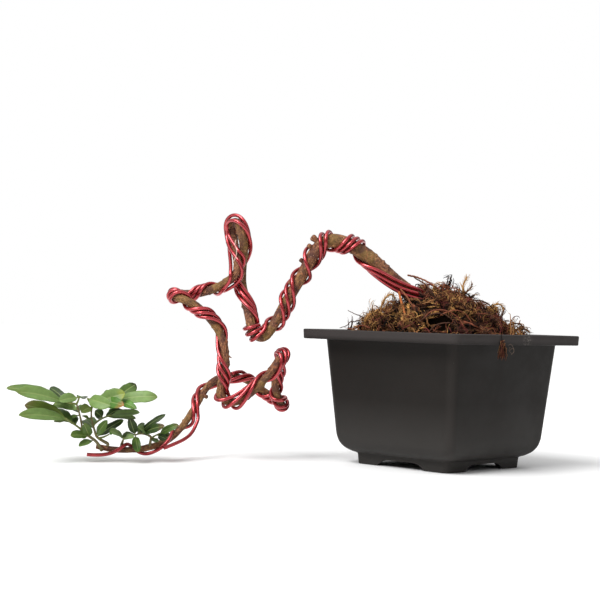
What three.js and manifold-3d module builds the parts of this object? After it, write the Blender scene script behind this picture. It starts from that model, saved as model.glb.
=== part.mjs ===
// A bonsai in its square pot: one thin trunk that leaves the pot to the left, zigzags and loops on its way
// down to the surface beside the pot, and ends in leafy shoots. Three strands of wire are wound round it.
// Units are millimetres and +Z is up. The pot's axis is X = Y = 0 until the last line, which moves the whole
// to the middle of its own box. -Y is the front.

import * as THREE from 'three';
import { mergeVertices } from 'three/addons/utils/BufferGeometryUtils.js';
import Module from 'manifold-3d';

const wasm = await Module();
wasm.setup();

// Pot
const POT_TURN = 0.795;
const POT_HEIGHT = 110;
const RIM_HALF = 82.5;
const RIM_CORNER = 6;
const LIP_HEIGHT = 8;
const WALL = 2.5;
const BODY_TOP_HALF = 69.8;
const BODY_LOW_HALF = 62.2;
const BODY_LOW_Z = 24;
const BODY_CORNER = 8;
const BASE_HALF = 52.5;
const BASE_Z = 10;
const FOOT_HALF = 48.5;
const FOOT_CORNER = 5;
const FLOOR_Z = 11;
const ARCH_WIDTH = 52;
const ARCH_HEIGHT = 5.5;
const DRAIN_RADIUS = 5;
const DRAIN_SPREAD = 22;

// Filling
const GAP = 0.35;
const MESH_HALF = 32;
const MESH_THICK = 1;
const MESH_OPENINGS = 4;
const SOIL_TOP = 100;
const MOSS_PEAK = 149;
const MOSS_LUMP = 0.06;
const FIBRE_COUNT = 36;
const FIBRE_RADIUS = 0.9;

// Trunk and wire
const TRUNK_SIDES = 9;
const WIRE_RADIUS = 1.5;
const WIRE_SIDES = 5;
const WIRE_SEAT = 0.7;
const WIRE_PITCH = 3.45;
const WIRE_CLEAR = 3.75;
const WIRE_STEP = 2;
const WIRE_RING_STEP = 5.6;
const SETTLING_ROUNDS = 80;

// Leaves
const BLADE_THICK = 0.8;
const RACHIS_RADIUS = 0.9;
const BLADE_PLACES = [0, 0.2, 0.55, 0.88, 1];
const BLADE_WIDTHS = [0, 0.78, 1, 0.68, 0.1];

// Way-points of the trunk from its foot in the soil to its cut tip: x, y, z and radius
const TRUNK = [
  [0, 6, 56, 8.6], [0, 6, 68, 8.6], [0, 6, 80, 8.4], [0, 6, 92, 8], [-2, 5, 108, 7.4],
  [-11, 2, 127, 6.8], [-26, -1, 141, 6.4], [-40, -3, 151, 6.2], [-52, -5, 162, 6.1], [-65, -6, 173, 6.1],
  [-78, -7, 180, 6.1], [-91, -8, 184, 6], [-101, -8, 181, 5.6], [-108, -8, 171, 5.2], [-113, -8, 161, 5],
  [-118, -8, 151, 4.8], [-124, -8, 140, 4.7], [-130, -8, 129, 4.6], [-135, -9, 119, 4.5],
  [-139, -10, 112, 4.4], [-142, -11, 107, 4.3], [-145, -11, 103, 4.3], [-149, -12, 101.3, 4.2],
  [-153.5, -12, 104, 4.1], [-156.8, -12, 109.5, 4.1], [-158.5, -9, 116, 4], [-160.6, -4, 125, 4],
  [-163.9, 1, 135.1, 3.9], [-166.4, 5, 145.5, 3.8], [-166.9, 6, 156.3, 3.8], [-165.7, 2.5, 167.5, 3.8],
  [-164.9, -4, 177.2, 3.7], [-167.1, -9, 188.4, 3.7], [-172.4, -2, 198.3, 3.7], [-176.7, 8, 195.3, 3.6],
  [-174.5, 9, 185, 3.6], [-172.6, 2, 173.5, 3.6], [-169.3, -7, 162.1, 3.5], [-169.8, -9, 152.9, 3.5],
  [-179, -6, 145.5, 3.5], [-192.1, 2, 139.1, 3.5], [-205.7, 9, 136, 3.5], [-216.8, 10, 136, 3.5],
  [-222.5, 2, 135, 3.5], [-220, -8, 133, 3.5], [-213, -13, 131, 3.5], [-205, -13, 128, 3.5],
  [-197, -13, 122, 3.4], [-188, -13, 113, 3.4], [-181, -13, 103, 3.4], [-178, -13, 92, 3.4],
  [-177, -13, 80, 3.4], [-179, -13, 69, 3.4], [-181, -13, 60, 3.4], [-180.5, -13, 53.5, 3.3],
  [-176.5, -13, 49, 3.3], [-169.5, -14, 47.5, 3.3], [-162, -14, 51, 3.3], [-154, -14, 58, 3.3],
  [-146, -14, 66, 3.3], [-139, -14, 75, 3.3], [-133.5, -11, 84, 3.3], [-130, -1, 89, 3.2],
  [-130, 9, 85.5, 3.2], [-132.5, 13, 77, 3.2], [-137, 13, 67, 3.2], [-136.5, 12, 58, 3.2],
  [-133, 12, 51, 3.2], [-130.5, 17, 46, 3.1], [-130.5, 25, 45, 3.1], [-134, 31, 48, 3.1],
  [-141, 31, 53, 3.1], [-148, 29, 57, 3], [-157, 27, 63, 3], [-166, 24, 67, 3], [-175, 20, 69, 3],
  [-184, 16, 67, 3], [-192, 11, 61, 3], [-197, 7, 53, 3], [-201, 2, 44, 3], [-206, -4, 35, 3],
  [-212, -11, 26, 3], [-218, -18, 19, 2.9], [-226, -25, 14, 2.8], [-236, -31, 11, 2.7],
  [-247, -36, 9, 2.6], [-258, -40, 9, 2.4], [-268, -43, 10, 2.3], [-277, -45, 12, 2.2],
];

// Sides of the trunk that the middle strand lies on
const FRONT = new THREE.Vector3(0, -1, 0);
const TOP = new THREE.Vector3(0, 0, 1);
const UNDER = new THREE.Vector3(0, 0, -1);
const LEFT = new THREE.Vector3(-1, 0, 0);
const RIGHT = new THREE.Vector3(1, 0, 0);
const LOW_RIGHT = new THREE.Vector3(0.7, 0, -0.7);
const LOW_LEFT = new THREE.Vector3(-0.7, 0, -0.7);
const HIGH_LEFT = new THREE.Vector3(-0.7, 0, 0.7);

// Winding of the middle strand: way-point number, the side it lies on, and the turns since the last entry
const WINDING = [
  [6.3, FRONT, 0], [8.9, LOW_LEFT, 0.25], [10, FRONT, 0.75], [12.3, FRONT, 1], [16.7, FRONT, 1],
  [22.2, FRONT, 1], [24.9, RIGHT, 0.75], [26.8, FRONT, 0.25], [31.6, RIGHT, 0.75], [32.9, TOP, 0.25],
  [36.9, FRONT, 0.5], [38.4, RIGHT, 0.25], [39.6, UNDER, 0], [40.6, FRONT, 0.75], [43.5, LEFT, 0.5],
  [46.9, FRONT, 1], [51.8, FRONT, 1], [55, LOW_LEFT, 0.75], [56.4, FRONT, 0.25], [58.8, HIGH_LEFT, 0.25],
  [60, LOW_RIGHT, 0.5], [61.1, RIGHT, 0], [61.8, TOP, 0.25], [62.6, LEFT, 0.25], [64, FRONT, 0.25],
  [67.9, LOW_RIGHT, 1], [69.8, FRONT, 0.5], [74.6, FRONT, 1], [79.6, FRONT, 1], [82.2, FRONT, 1],
  [84.5, UNDER, 0.25], [86, FRONT, 0.75],
];

// How far the outer strands lie from the middle one: way-point number and the factors of the two
const SPREAD = [
  [0, 2, 2], [3.5, 2, 2], [5, 1.2, 1.2], [8, 1.15, 1.15], [10, 1.15, 1.15], [12, 1.1, 3.2],
  [13, 1.1, 4.6], [14.5, 1.2, 2.2], [16.7, 1.8, 1.8], [21, 1.2, 1.2], [22.4, 1.3, 1.3], [24, 1.1, 1.1],
  [26, 1.1, 1.1], [28, 1.2, 1.2], [31, 1, 1], [35, 1.2, 1.2], [36, 1.8, 1.8], [37, 2.8, 2.8],
  [38.2, 2.4, 2.4], [39.5, 1.2, 1.2], [41, 1, 1], [42, 1, 1], [46.8, 1.15, 1.15], [49, 1.05, 1.05],
  [51.3, 1.4, 1.4], [53, 1.2, 1.2], [55.4, 1.5, 1.5], [58, 1.1, 1.1], [60, 1, 1], [64, 1, 1],
  [74, 1.2, 1.2], [88, 1, 1],
];

// Loose ends of two strands
const LOOSE_A = [[-201, -9, 27], [-201, -12, 23], [-204, -16, 19], [-211, -23, 16], [-224, -33, 11]];
const LOOSE_B = [[-275, -52, 5], [-283, -53, 6]];

// Strands: which side of the middle strand, where its winding starts and ends, and its loose tail
const STRANDS = [
  { name: 'wire_a', side: 1, from: 10, last: 79.7, tail: LOOSE_A },
  { name: 'wire_b', side: 0, from: 13, last: 86.5, tail: LOOSE_B },
  { name: 'wire_c', side: -1, from: 7, last: 74.9, tail: [] },
];

// Cut stubs and buds on the trunk: way-point number, direction, length and radius
const STUBS = [
  [12, [-0.85, -0.1, 0.5], 9.8, 2.3], [12.6, [-0.85, -0.3, 0.35], 8, 1.7],
  [13.9, [-0.8, -0.2, 0.6], 7.2, 1.5], [15.6, [-0.8, -0.4, 0.45], 6.6, 1.4],
  [18.2, [0.85, -0.3, -0.4], 6.2, 1.4], [50.3, [0.75, -0.25, -0.6], 7.4, 0.9],
  [78, [0.7, -0.5, -0.4], 5.5, 1.4],
];

// A shoot is a list of stems, each with its leaflets. A stem has its way-points; a leaflet has its place
// along the stem, its tip, its width and its tilt: 0 faces up and 90 faces the front.
const SHOOTS = {
  shoot_left: [
    {
      route: [
        [-272.3, -47.6, 9.2], [-274.1, -49.4, 13], [-276.4, -50.8, 16.3], [-279.1, -51.6, 18.6],
        [-283.5, -52.5, 21.4], [-287, -53, 24.5], [-287.7, -54, 29.3], [-288.5, -55, 34.1],
        [-289.4, -56, 38.1], [-290.4, -58, 42.9], [-291.4, -60, 46.1],
      ],
      leaflets: [
        [0.36, [-294.8, -64, 21.6], 7.4, 60], [0.34, [-284.1, -67, 31.5], 7, 75],
        [0.24, [-288.5, -60, 12.8], 5.7, 45], [0.8, [-300, -50, 32.6], 3.1, 50],
        [0.9, [-312.5, -44, 44.2], 8.4, 50], [0.85, [-299.6, -28, 40], 10, 40],
      ],
    },
    {
      route: [
        [-291.4, -60, 46.1], [-294.7, -62, 46.7], [-298.3, -64, 47.5], [-301.3, -65, 48.1],
      ],
      leaflets: [
        [1, [-334.8, -84, 55.8], 11.7, 55], [0.9, [-348.4, -52, 56.9], 9.6, 45],
        [0.7, [-314.3, -50, 58], 6.3, 50], [0.5, [-313.8, -32, 49.5], 9.8, 35],
      ],
    },
    {
      route: [
        [-291.4, -60, 46.1], [-289.8, -61.5, 49.2], [-289.2, -63, 51.7],
      ],
      leaflets: [
        [1, [-303, -74, 49], 7.9, 65], [0.9, [-288.7, -38, 48.9], 7.5, 40],
      ],
    },
    {
      route: [
        [-287.4, -53.2, 25.3], [-291.6, -58, 29.1], [-295.8, -62, 32.4], [-298.6, -65, 34.9],
      ],
      leaflets: [
        [1, [-330.1, -72, 45], 11.2, 55], [0.95, [-330.8, -92, 38.3], 9.7, 60],
        [0.85, [-308.7, -60, 31.9], 5.6, 40], [0.6, [-318.3, -32, 37.3], 11.2, 40],
        [0.4, [-303.9, -30, 33.5], 9.8, 35],
      ],
    },
  ],
  shoot_middle: [
    {
      route: [
        [-267.7, -43.8, 13.9], [-271.3, -44.4, 16.1], [-274.9, -44.8, 18.1], [-276.9, -45.2, 20.2],
        [-278.3, -45.5, 24.1], [-279.8, -46, 28.9], [-281, -47, 34.5], [-281.1, -48, 40.2],
        [-280.2, -49, 44.2],
      ],
      leaflets: [
        [0.33, [-266.9, -58, 33.7], 6.6, 75], [0.3, [-255.9, -44, 33.6], 6.5, 60],
        [0.7, [-287.8, -53, 36.3], 2.6, 50], [1, [-287.5, -61, 40], 8.1, 70],
        [0.5, [-289.9, -26, 31.2], 11.2, 40],
      ],
    },
    {
      route: [
        [-280.2, -49, 44.2], [-282.3, -52, 47.5], [-283.4, -56, 50.5],
      ],
      leaflets: [
        [1, [-263.4, -70, 46.3], 10.4, 75],
      ],
    },
    {
      route: [
        [-280.2, -49, 44.2], [-276.9, -48, 47], [-271.5, -47, 48.7], [-265.3, -46, 49.6],
        [-259, -45, 50.1],
      ],
      leaflets: [
        [0.18, [-254, -55, 55.2], 13.2, 65], [0.34, [-253.9, -62, 46.1], 9.5, 62],
        [0.86, [-247.6, -36, 61.8], 10.2, 60], [0.95, [-228.5, -52, 53], 10.4, 58],
        [0.8, [-244, -60, 43.5], 6.8, 45], [0.5, [-264.2, -16, 54.1], 12.4, 40],
        [1, [-245.5, -22, 50.1], 12.6, 35],
      ],
    },
    {
      route: [
        [-279.8, -46, 28.9], [-276.1, -45, 32.1], [-271.5, -44, 34.9], [-266.9, -43, 36.6],
      ],
      leaflets: [
        [0.62, [-277.5, -55, 40.7], 7.7, 70], [1, [-242.6, -50, 40.3], 6.3, 50],
        [0.85, [-246.6, -38, 34.7], 5.7, 45], [0.7, [-259.1, -32, 41.4], 6.3, 50],
        [0.9, [-257.5, -14, 38.7], 11.2, 35],
      ],
    },
    {
      route: [
        [-275.4, -45, 18.4], [-271, -47.5, 19.7], [-267.1, -50, 21.6],
      ],
      leaflets: [
        [1, [-259.6, -54, 26.3], 3.2, 60],
      ],
    },
  ],
  shoot_low: [
    {
      route: [
        [-257.7, -36.2, 12.4], [-256.3, -42, 16.3], [-254.4, -50, 19.4],
      ],
      leaflets: [
        [0.97, [-263.8, -68, 26.3], 6.5, 60], [1, [-244.7, -66, 21.8], 5.5, 60],
        [0.6, [-250.1, -32, 22.3], 8.4, 35],
      ],
    },
  ],
  shoot_inner: [
    {
      route: [
        [-235.3, -33, 13.8], [-234.7, -34, 17.1], [-234.5, -35.6, 19.8], [-238.2, -38, 22],
        [-242.7, -41, 22.7], [-246.5, -44, 21.6],
      ],
      leaflets: [
        [1, [-250, -53, 35.6], 6.8, 75], [1, [-241.9, -56, 9.5], 6.5, 80],
        [0.88, [-222.3, -46, 39], 4.9, 55], [0.72, [-222.1, -54, 30.3], 7.4, 60],
        [0.9, [-242, -28, 30.7], 4.7, 50], [0.42, [-243.4, -51, 28.3], 6.3, 55],
        [0.2, [-227.3, -46, 17.2], 3.9, 55], [0.6, [-243.5, -18, 23], 10, 40],
      ],
    },
    {
      route: [
        [-234.6, -34.6, 18.2], [-231.6, -35, 20.6], [-228.4, -35.5, 22.3],
      ],
      leaflets: [
        [1, [-212.2, -40, 30.5], 6.1, 58], [0.8, [-221.5, -40, 18.7], 5.5, 60],
        [0.95, [-219.1, -36, 22.4], 4.6, 60],
      ],
    },
  ],
};

const vector = (p) => new THREE.Vector3(p[0], p[1], p[2]);

// The same random draws every time
let seed = 20;
function random() {
  seed = (seed * 16807) % 2147483647;
  return seed / 2147483647;
}

// Joining and cutting

function toSolid(geometry) {
  const bare = geometry.clone();
  bare.deleteAttribute('normal');
  bare.deleteAttribute('uv');
  const merged = mergeVertices(bare, 1e-4);
  const vertProperties = new Float32Array(merged.attributes.position.array);
  const triVerts = new Uint32Array(merged.index.array);
  return new wasm.Manifold(new wasm.Mesh({ numProp: 3, vertProperties, triVerts }));
}

function toGeometry(solid) {
  const mesh = solid.getMesh();
  const geometry = new THREE.BufferGeometry();
  geometry.setAttribute('position', new THREE.BufferAttribute(new Float32Array(mesh.vertProperties), 3));
  geometry.setIndex(new THREE.BufferAttribute(new Uint32Array(mesh.triVerts), 1));
  return geometry;
}

const join = (solids) => solids.reduce((whole, solid) => whole.add(solid));

// A cut can leave crumbs behind: only the largest body is the piece
function largestBody(solid) {
  const bodies = solid.decompose();
  bodies.sort((a, b) => b.volume() - a.volume());
  return bodies[0];
}

// Closed skin over rings of points, with a fan on each end. Each ring runs counterclockwise.
function loft(rings) {
  const count = rings[0].length;
  const points = rings.flat();
  const index = [];
  for (let i = 0; i + 1 < rings.length; i++) {
    for (let j = 0; j < count; j++) {
      const a = i * count + j;
      const b = i * count + (j + 1) % count;
      index.push(a, b, b + count, a, b + count, a + count);
    }
  }
  const last = (rings.length - 1) * count;
  const middle = (ring) => ring.reduce((sum, p) => sum.add(p), new THREE.Vector3()).divideScalar(count);
  points.push(middle(rings[0]), middle(rings[rings.length - 1]));
  for (let j = 0; j < count; j++) {
    const k = (j + 1) % count;
    index.push(k, j, points.length - 2);
    index.push(last + j, last + k, points.length - 1);
  }
  const geometry = new THREE.BufferGeometry().setFromPoints(points);
  geometry.setIndex(index);
  return geometry;
}

// Square outline with rounded corners, counterclockwise
function squareRing(half, corner, z) {
  const ring = [];
  const inner = half - corner;
  for (let quarter = 0; quarter < 4; quarter++) {
    const turn = quarter * Math.PI / 2;
    const centre = new THREE.Vector3(inner, inner, z).applyAxisAngle(new THREE.Vector3(0, 0, 1), turn);
    for (let k = 0; k <= 3; k++) {
      const angle = turn + k * Math.PI / 6;
      ring.push(new THREE.Vector3(Math.cos(angle), Math.sin(angle), 0).multiplyScalar(corner).add(centre));
    }
  }
  return ring;
}

// Route of the trunk: a cubic B-spline through the way-points, with a frame carried along without twist

const SAMPLES_PER_SPAN = 10;

function makeRoute(wayPoints) {
  const extend = (a, b) => a.map((value, i) => 2 * value - b[i]);
  const n = wayPoints.length;
  const before = extend(wayPoints[0], wayPoints[1]);
  const after = extend(wayPoints[n - 1], wayPoints[n - 2]);
  const knots = [before, ...wayPoints, after];
  const stations = [];
  for (let i = 0; i < (n - 1) * SAMPLES_PER_SPAN + 1; i++) {
    const span = Math.min(Math.floor(i / SAMPLES_PER_SPAN), n - 2);
    const t = i / SAMPLES_PER_SPAN - span;
    const weights = [(1 - t) ** 3, 3 * t ** 3 - 6 * t * t + 4, -3 * t ** 3 + 3 * t * t + 3 * t + 1, t ** 3];
    const value = [0, 0, 0, 0];
    for (let k = 0; k < 4; k++) {
      for (let c = 0; c < 4; c++) value[c] += weights[k] * knots[span + k][c] / 6;
    }
    stations.push({ point: vector(value), radius: value[3] });
  }
  let length = 0;
  stations.forEach((station, i) => {
    if (i > 0) length += station.point.distanceTo(stations[i - 1].point);
    station.s = length;
    const before = stations[Math.max(i - 1, 0)].point;
    const after = stations[Math.min(i + 1, stations.length - 1)].point;
    station.tangent = after.clone().sub(before).normalize();
  });
  carryFrame(stations);
  return stations;
}

// Rotation-minimising frame by double reflection
function carryFrame(stations) {
  const first = stations[0];
  first.normal = FRONT.clone().addScaledVector(first.tangent, -FRONT.dot(first.tangent)).normalize();
  for (let i = 0; i + 1 < stations.length; i++) {
    const here = stations[i];
    const next = stations[i + 1];
    const v1 = next.point.clone().sub(here.point);
    const c1 = v1.lengthSq();
    const reflected = here.normal.clone().addScaledVector(v1, -2 * v1.dot(here.normal) / c1);
    const turned = here.tangent.clone().addScaledVector(v1, -2 * v1.dot(here.tangent) / c1);
    const v2 = next.tangent.clone().sub(turned);
    const c2 = v2.lengthSq();
    if (c2 > 1e-12) reflected.addScaledVector(v2, -2 * v2.dot(reflected) / c2);
    next.normal = reflected;
  }
}

const route = makeRoute(TRUNK);
const routeLength = route[route.length - 1].s;
const distanceAt = (wayPoint) => stationAt(wayPoint * SAMPLES_PER_SPAN).s;

function stationAt(index) {
  const i = Math.min(Math.max(Math.floor(index), 0), route.length - 2);
  return blend(route[i], route[i + 1], index - i);
}

function blend(a, b, t) {
  const tangent = a.tangent.clone().lerp(b.tangent, t).normalize();
  const normal = a.normal.clone().lerp(b.normal, t);
  normal.addScaledVector(tangent, -normal.dot(tangent)).normalize();
  return {
    s: a.s + (b.s - a.s) * t,
    point: a.point.clone().lerp(b.point, t),
    radius: a.radius + (b.radius - a.radius) * t,
    tangent,
    normal,
    side: new THREE.Vector3().crossVectors(normal, tangent),
  };
}

// Direction across the trunk at an angle in its carried frame
function outward(station, angle) {
  const out = station.normal.clone().multiplyScalar(Math.cos(angle));
  return out.addScaledVector(station.side, Math.sin(angle));
}

// The station at a distance along the trunk; before its foot and past its tip it runs straight on
function along(s) {
  let low = 0;
  let high = route.length - 2;
  while (low < high) {
    const middle = Math.ceil((low + high) / 2);
    if (route[middle].s <= s) low = middle;
    else high = middle - 1;
  }
  return blend(route[low], route[low + 1], (s - route[low].s) / (route[low + 1].s - route[low].s));
}

// Smooth rising curve through the given places and values, without overshoot
function risingCurve(places, values) {
  const n = places.length;
  const steps = places.slice(1).map((x, i) => x - places[i]);
  const slopes = values.slice(1).map((y, i) => (y - values[i]) / steps[i]);
  const m = [slopes[0]];
  for (let i = 1; i < n - 1; i++) {
    const w1 = 2 * steps[i] + steps[i - 1];
    const w2 = steps[i] + 2 * steps[i - 1];
    m.push(slopes[i - 1] * slopes[i] <= 0 ? 0 : (w1 + w2) / (w1 / slopes[i - 1] + w2 / slopes[i]));
  }
  m.push(slopes[n - 2]);
  return (x) => {
    const inside = Math.min(Math.max(x, places[0]), places[n - 1]);
    let i = 0;
    while (i < n - 2 && places[i + 1] <= inside) i++;
    const t = (inside - places[i]) / steps[i];
    return (2 * t ** 3 - 3 * t * t + 1) * values[i] + (t ** 3 - 2 * t * t + t) * steps[i] * m[i]
      + (-2 * t ** 3 + 3 * t * t) * values[i + 1] + (t ** 3 - t * t) * steps[i] * m[i + 1];
  };
}

// Straight lines through the given places and values
function brokenLine(pairs) {
  return (x) => {
    let i = 0;
    while (i < pairs.length - 2 && pairs[i + 1][0] <= x) i++;
    const [x0, y0] = pairs[i];
    const [x1, y1] = pairs[i + 1];
    const t = Math.min(Math.max((x - x0) / (x1 - x0), 0), 1);
    return y0 + (y1 - y0) * t;
  };
}

// Angle of the middle strand round the trunk, in the carried frame, against the distance along the trunk
function windingCurve() {
  const places = [];
  const angles = [];
  for (const [wayPoint, direction, turns] of WINDING) {
    const station = stationAt(wayPoint * SAMPLES_PER_SPAN);
    let angle = Math.atan2(direction.dot(station.side), direction.dot(station.normal));
    if (angles.length > 0) {
      const wanted = angles[angles.length - 1] + 2 * Math.PI * turns;
      const off = angle - wanted;
      angle = wanted + off - 2 * Math.PI * Math.floor(off / (2 * Math.PI) + 0.5);
    }
    places.push(station.s);
    angles.push(angle);
  }
  // In the soil the strands run straight beside the trunk
  places.unshift(0, distanceAt(3.6));
  angles.unshift(angles[0] - 3.2, angles[0] - 3.2);
  places.push(routeLength);
  angles.push(angles[angles.length - 1] + Math.PI);
  return risingCurve(places, angles);
}

// Centre line of one strand, as points laid on the trunk
function woundLine(strand, windingAngle, spread) {
  const points = [];
  const end = distanceAt(strand.last);
  for (let s = strand.from; s <= end; s += WIRE_STEP) {
    const here = along(s);
    const angle = windingAngle(s);
    const reach = here.radius + WIRE_RADIUS + WIRE_SEAT;
    const slope = (windingAngle(s + 1) - windingAngle(s - 1)) / 2;
    const lean = Math.atan2(reach * slope, 1);
    const offset = strand.side * WIRE_PITCH * spread[strand.side < 0 ? 1 : 0](s);
    const radial = outward(here, angle);
    const bend = along(s + 1).tangent.clone().sub(along(s - 1).tangent).divideScalar(2);
    const crowding = Math.max(1 - reach * bend.dot(radial), 0.4);
    const there = along(s - offset * Math.sin(lean) / crowding);
    const turned = angle + offset * Math.cos(lean) / reach;
    const lift = 1.4 * Math.min(Math.max((46 - s) / 20, 0), 1);
    const distance = there.radius + WIRE_RADIUS + WIRE_SEAT + lift;
    points.push(there.point.clone().addScaledVector(outward(there, turned), distance));
  }
  return points;
}

// Push the strands clear of each other and of the trunk, then ease them
function settle(lines) {
  const push = new THREE.Vector3();
  const balls = obstacles();
  for (let round = 0; round < SETTLING_ROUNDS; round++) {
    for (const [a, b] of [[0, 1], [1, 2], [0, 2]]) {
      for (const p of lines[a]) {
        for (const q of lines[b]) {
          if (Math.abs(p.x - q.x) > WIRE_CLEAR || Math.abs(p.z - q.z) > WIRE_CLEAR) continue;
          push.subVectors(p, q);
          const distance = push.length();
          if (distance >= WIRE_CLEAR || distance === 0) continue;
          push.multiplyScalar(0.25 * (WIRE_CLEAR - distance) / distance);
          p.add(push);
          q.sub(push);
        }
      }
    }
    const easing = round < SETTLING_ROUNDS - 15 ? 0.12 : 0;
    for (const line of lines) {
      for (let i = 1; i + 1 < line.length; i++) {
        push.addVectors(line[i - 1], line[i + 1]).addScaledVector(line[i], -2);
        line[i].addScaledVector(push, easing);
      }
      for (const p of line) keepClear(p, balls);
    }
  }
}

// What a strand goes round: the trunk, and its stubs as rows of balls
function obstacles() {
  const balls = [...route];
  for (const [wayPoint, direction, length, radius] of STUBS) {
    const station = stationAt(wayPoint * SAMPLES_PER_SPAN);
    const out = vector(direction).normalize();
    for (let reach = station.radius; reach <= length; reach += 0.5) {
      balls.push({ point: station.point.clone().addScaledVector(out, reach), radius: radius * 1.1 });
    }
  }
  return balls;
}

function keepClear(p, balls) {
  for (const { point, radius } of balls) {
    if (Math.abs(point.x - p.x) > 12) continue;
    const distance = point.distanceTo(p);
    const wanted = radius + WIRE_RADIUS + WIRE_SEAT - 0.05;
    if (distance < wanted) p.sub(point).multiplyScalar(wanted / distance).add(point);
  }
}

function strandLines() {
  const spread = [1, 2].map((k) => brokenLine(SPREAD.map((entry) => [distanceAt(entry[0]), entry[k]])));
  const windingAngle = windingCurve();
  const lines = STRANDS.map((strand) => {
    const wound = woundLine(strand, windingAngle, spread);
    return [...wound, ...looseTail(wound[wound.length - 1], strand.tail)];
  });
  settle(lines);
  return lines;
}

// Points of a loose tail, spaced like the wound ones
function looseTail(start, tail) {
  if (tail.length === 0) return [];
  const curve = new THREE.CatmullRomCurve3([start, ...tail.map(vector)], false, 'centripetal');
  return curve.getSpacedPoints(Math.round(curve.getLength() / WIRE_STEP)).slice(1);
}

// Round section as a shape
function roundShape(radius, sides) {
  const points = [];
  for (let i = 0; i < sides; i++) {
    const angle = (i * 2 * Math.PI) / sides;
    points.push(new THREE.Vector2(radius * Math.cos(angle), radius * Math.sin(angle)));
  }
  return new THREE.Shape(points);
}

// Round bar of one thickness along a line of points
function bar(points, radius, sides, step) {
  const curve = new THREE.CatmullRomCurve3(points, false, 'centripetal');
  curve.arcLengthDivisions = points.length * 4;
  const steps = Math.max(Math.round(curve.getLength() / step), 1);
  const options = { steps, bevelEnabled: false, extrudePath: curve };
  return new THREE.ExtrudeGeometry(roundShape(radius, sides), options);
}

// Thin stem that tapers from its root to its end
function stem(points, rootRadius, endRadius, sides, segments) {
  const curve = new THREE.CatmullRomCurve3(points, false, 'centripetal');
  const frames = curve.computeFrenetFrames(segments, false);
  const rings = [];
  for (let i = 0; i <= segments; i++) {
    const centre = curve.getPointAt(i / segments);
    const radius = rootRadius + (endRadius - rootRadius) * i / segments;
    const ring = [];
    for (let j = 0; j < sides; j++) {
      const angle = (j * 2 * Math.PI) / sides;
      const out = frames.normals[i].clone().multiplyScalar(Math.cos(angle));
      out.addScaledVector(frames.binormals[i], Math.sin(angle));
      ring.push(out.multiplyScalar(radius).add(centre));
    }
    rings.push(ring);
  }
  return loft(rings);
}

// Trunk

// Skin of the trunk between two distances, grown outward by a margin. Rings lie closer in the bends.
function trunkSkin(from, to, margin) {
  const rings = [];
  let s = from;
  let last = null;
  while (s < to) {
    const here = along(s);
    const turned = last ? here.tangent.angleTo(last.tangent) : Infinity;
    if (turned > 0.34 || s - last.s > 13) {
      rings.push(trunkRing(here, s, margin));
      last = { tangent: here.tangent, s };
    }
    s += 1;
  }
  rings.push(trunkRing(along(to), to, margin));
  return loft(rings);
}

function trunkRing(station, s, margin) {
  const ring = [];
  for (let j = 0; j < TRUNK_SIDES; j++) {
    const angle = (j * 2 * Math.PI) / TRUNK_SIDES;
    const worn = 0.97 + 0.03 * Math.sin(2 * angle + s * 0.11) * Math.cos(s * 0.07);
    const reach = station.radius * worn + margin;
    ring.push(outward(station, -angle).multiplyScalar(reach).add(station.point));
  }
  return ring;
}

function stub([wayPoint, direction, length, radius]) {
  const station = stationAt(wayPoint * SAMPLES_PER_SPAN);
  const out = vector(direction).normalize();
  const end = station.point.clone().addScaledVector(out, length);
  return stem([station.point, end], radius * 1.15, radius, 6, 1);
}

function makeTrunk() {
  const stubs = STUBS.map((entry) => toSolid(stub(entry)));
  return toGeometry(join([toSolid(trunkSkin(0, routeLength, 0)), ...stubs]));
}

// Pot

function bodyHalf(z) {
  const slope = (BODY_TOP_HALF - BODY_LOW_HALF) / (POT_HEIGHT - WALL - BODY_LOW_Z);
  return BODY_LOW_HALF + (z - BODY_LOW_Z) * slope;
}

// Half width of the hollow at a height
function hollowHalf(z) {
  const curve = brokenLine([
    [FLOOR_Z, BASE_HALF - 3], [14, 54.5], [19, 58], [BODY_LOW_Z, BODY_LOW_HALF - WALL],
    [POT_HEIGHT, bodyHalf(POT_HEIGHT) - WALL],
  ]);
  return curve(z);
}

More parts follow.
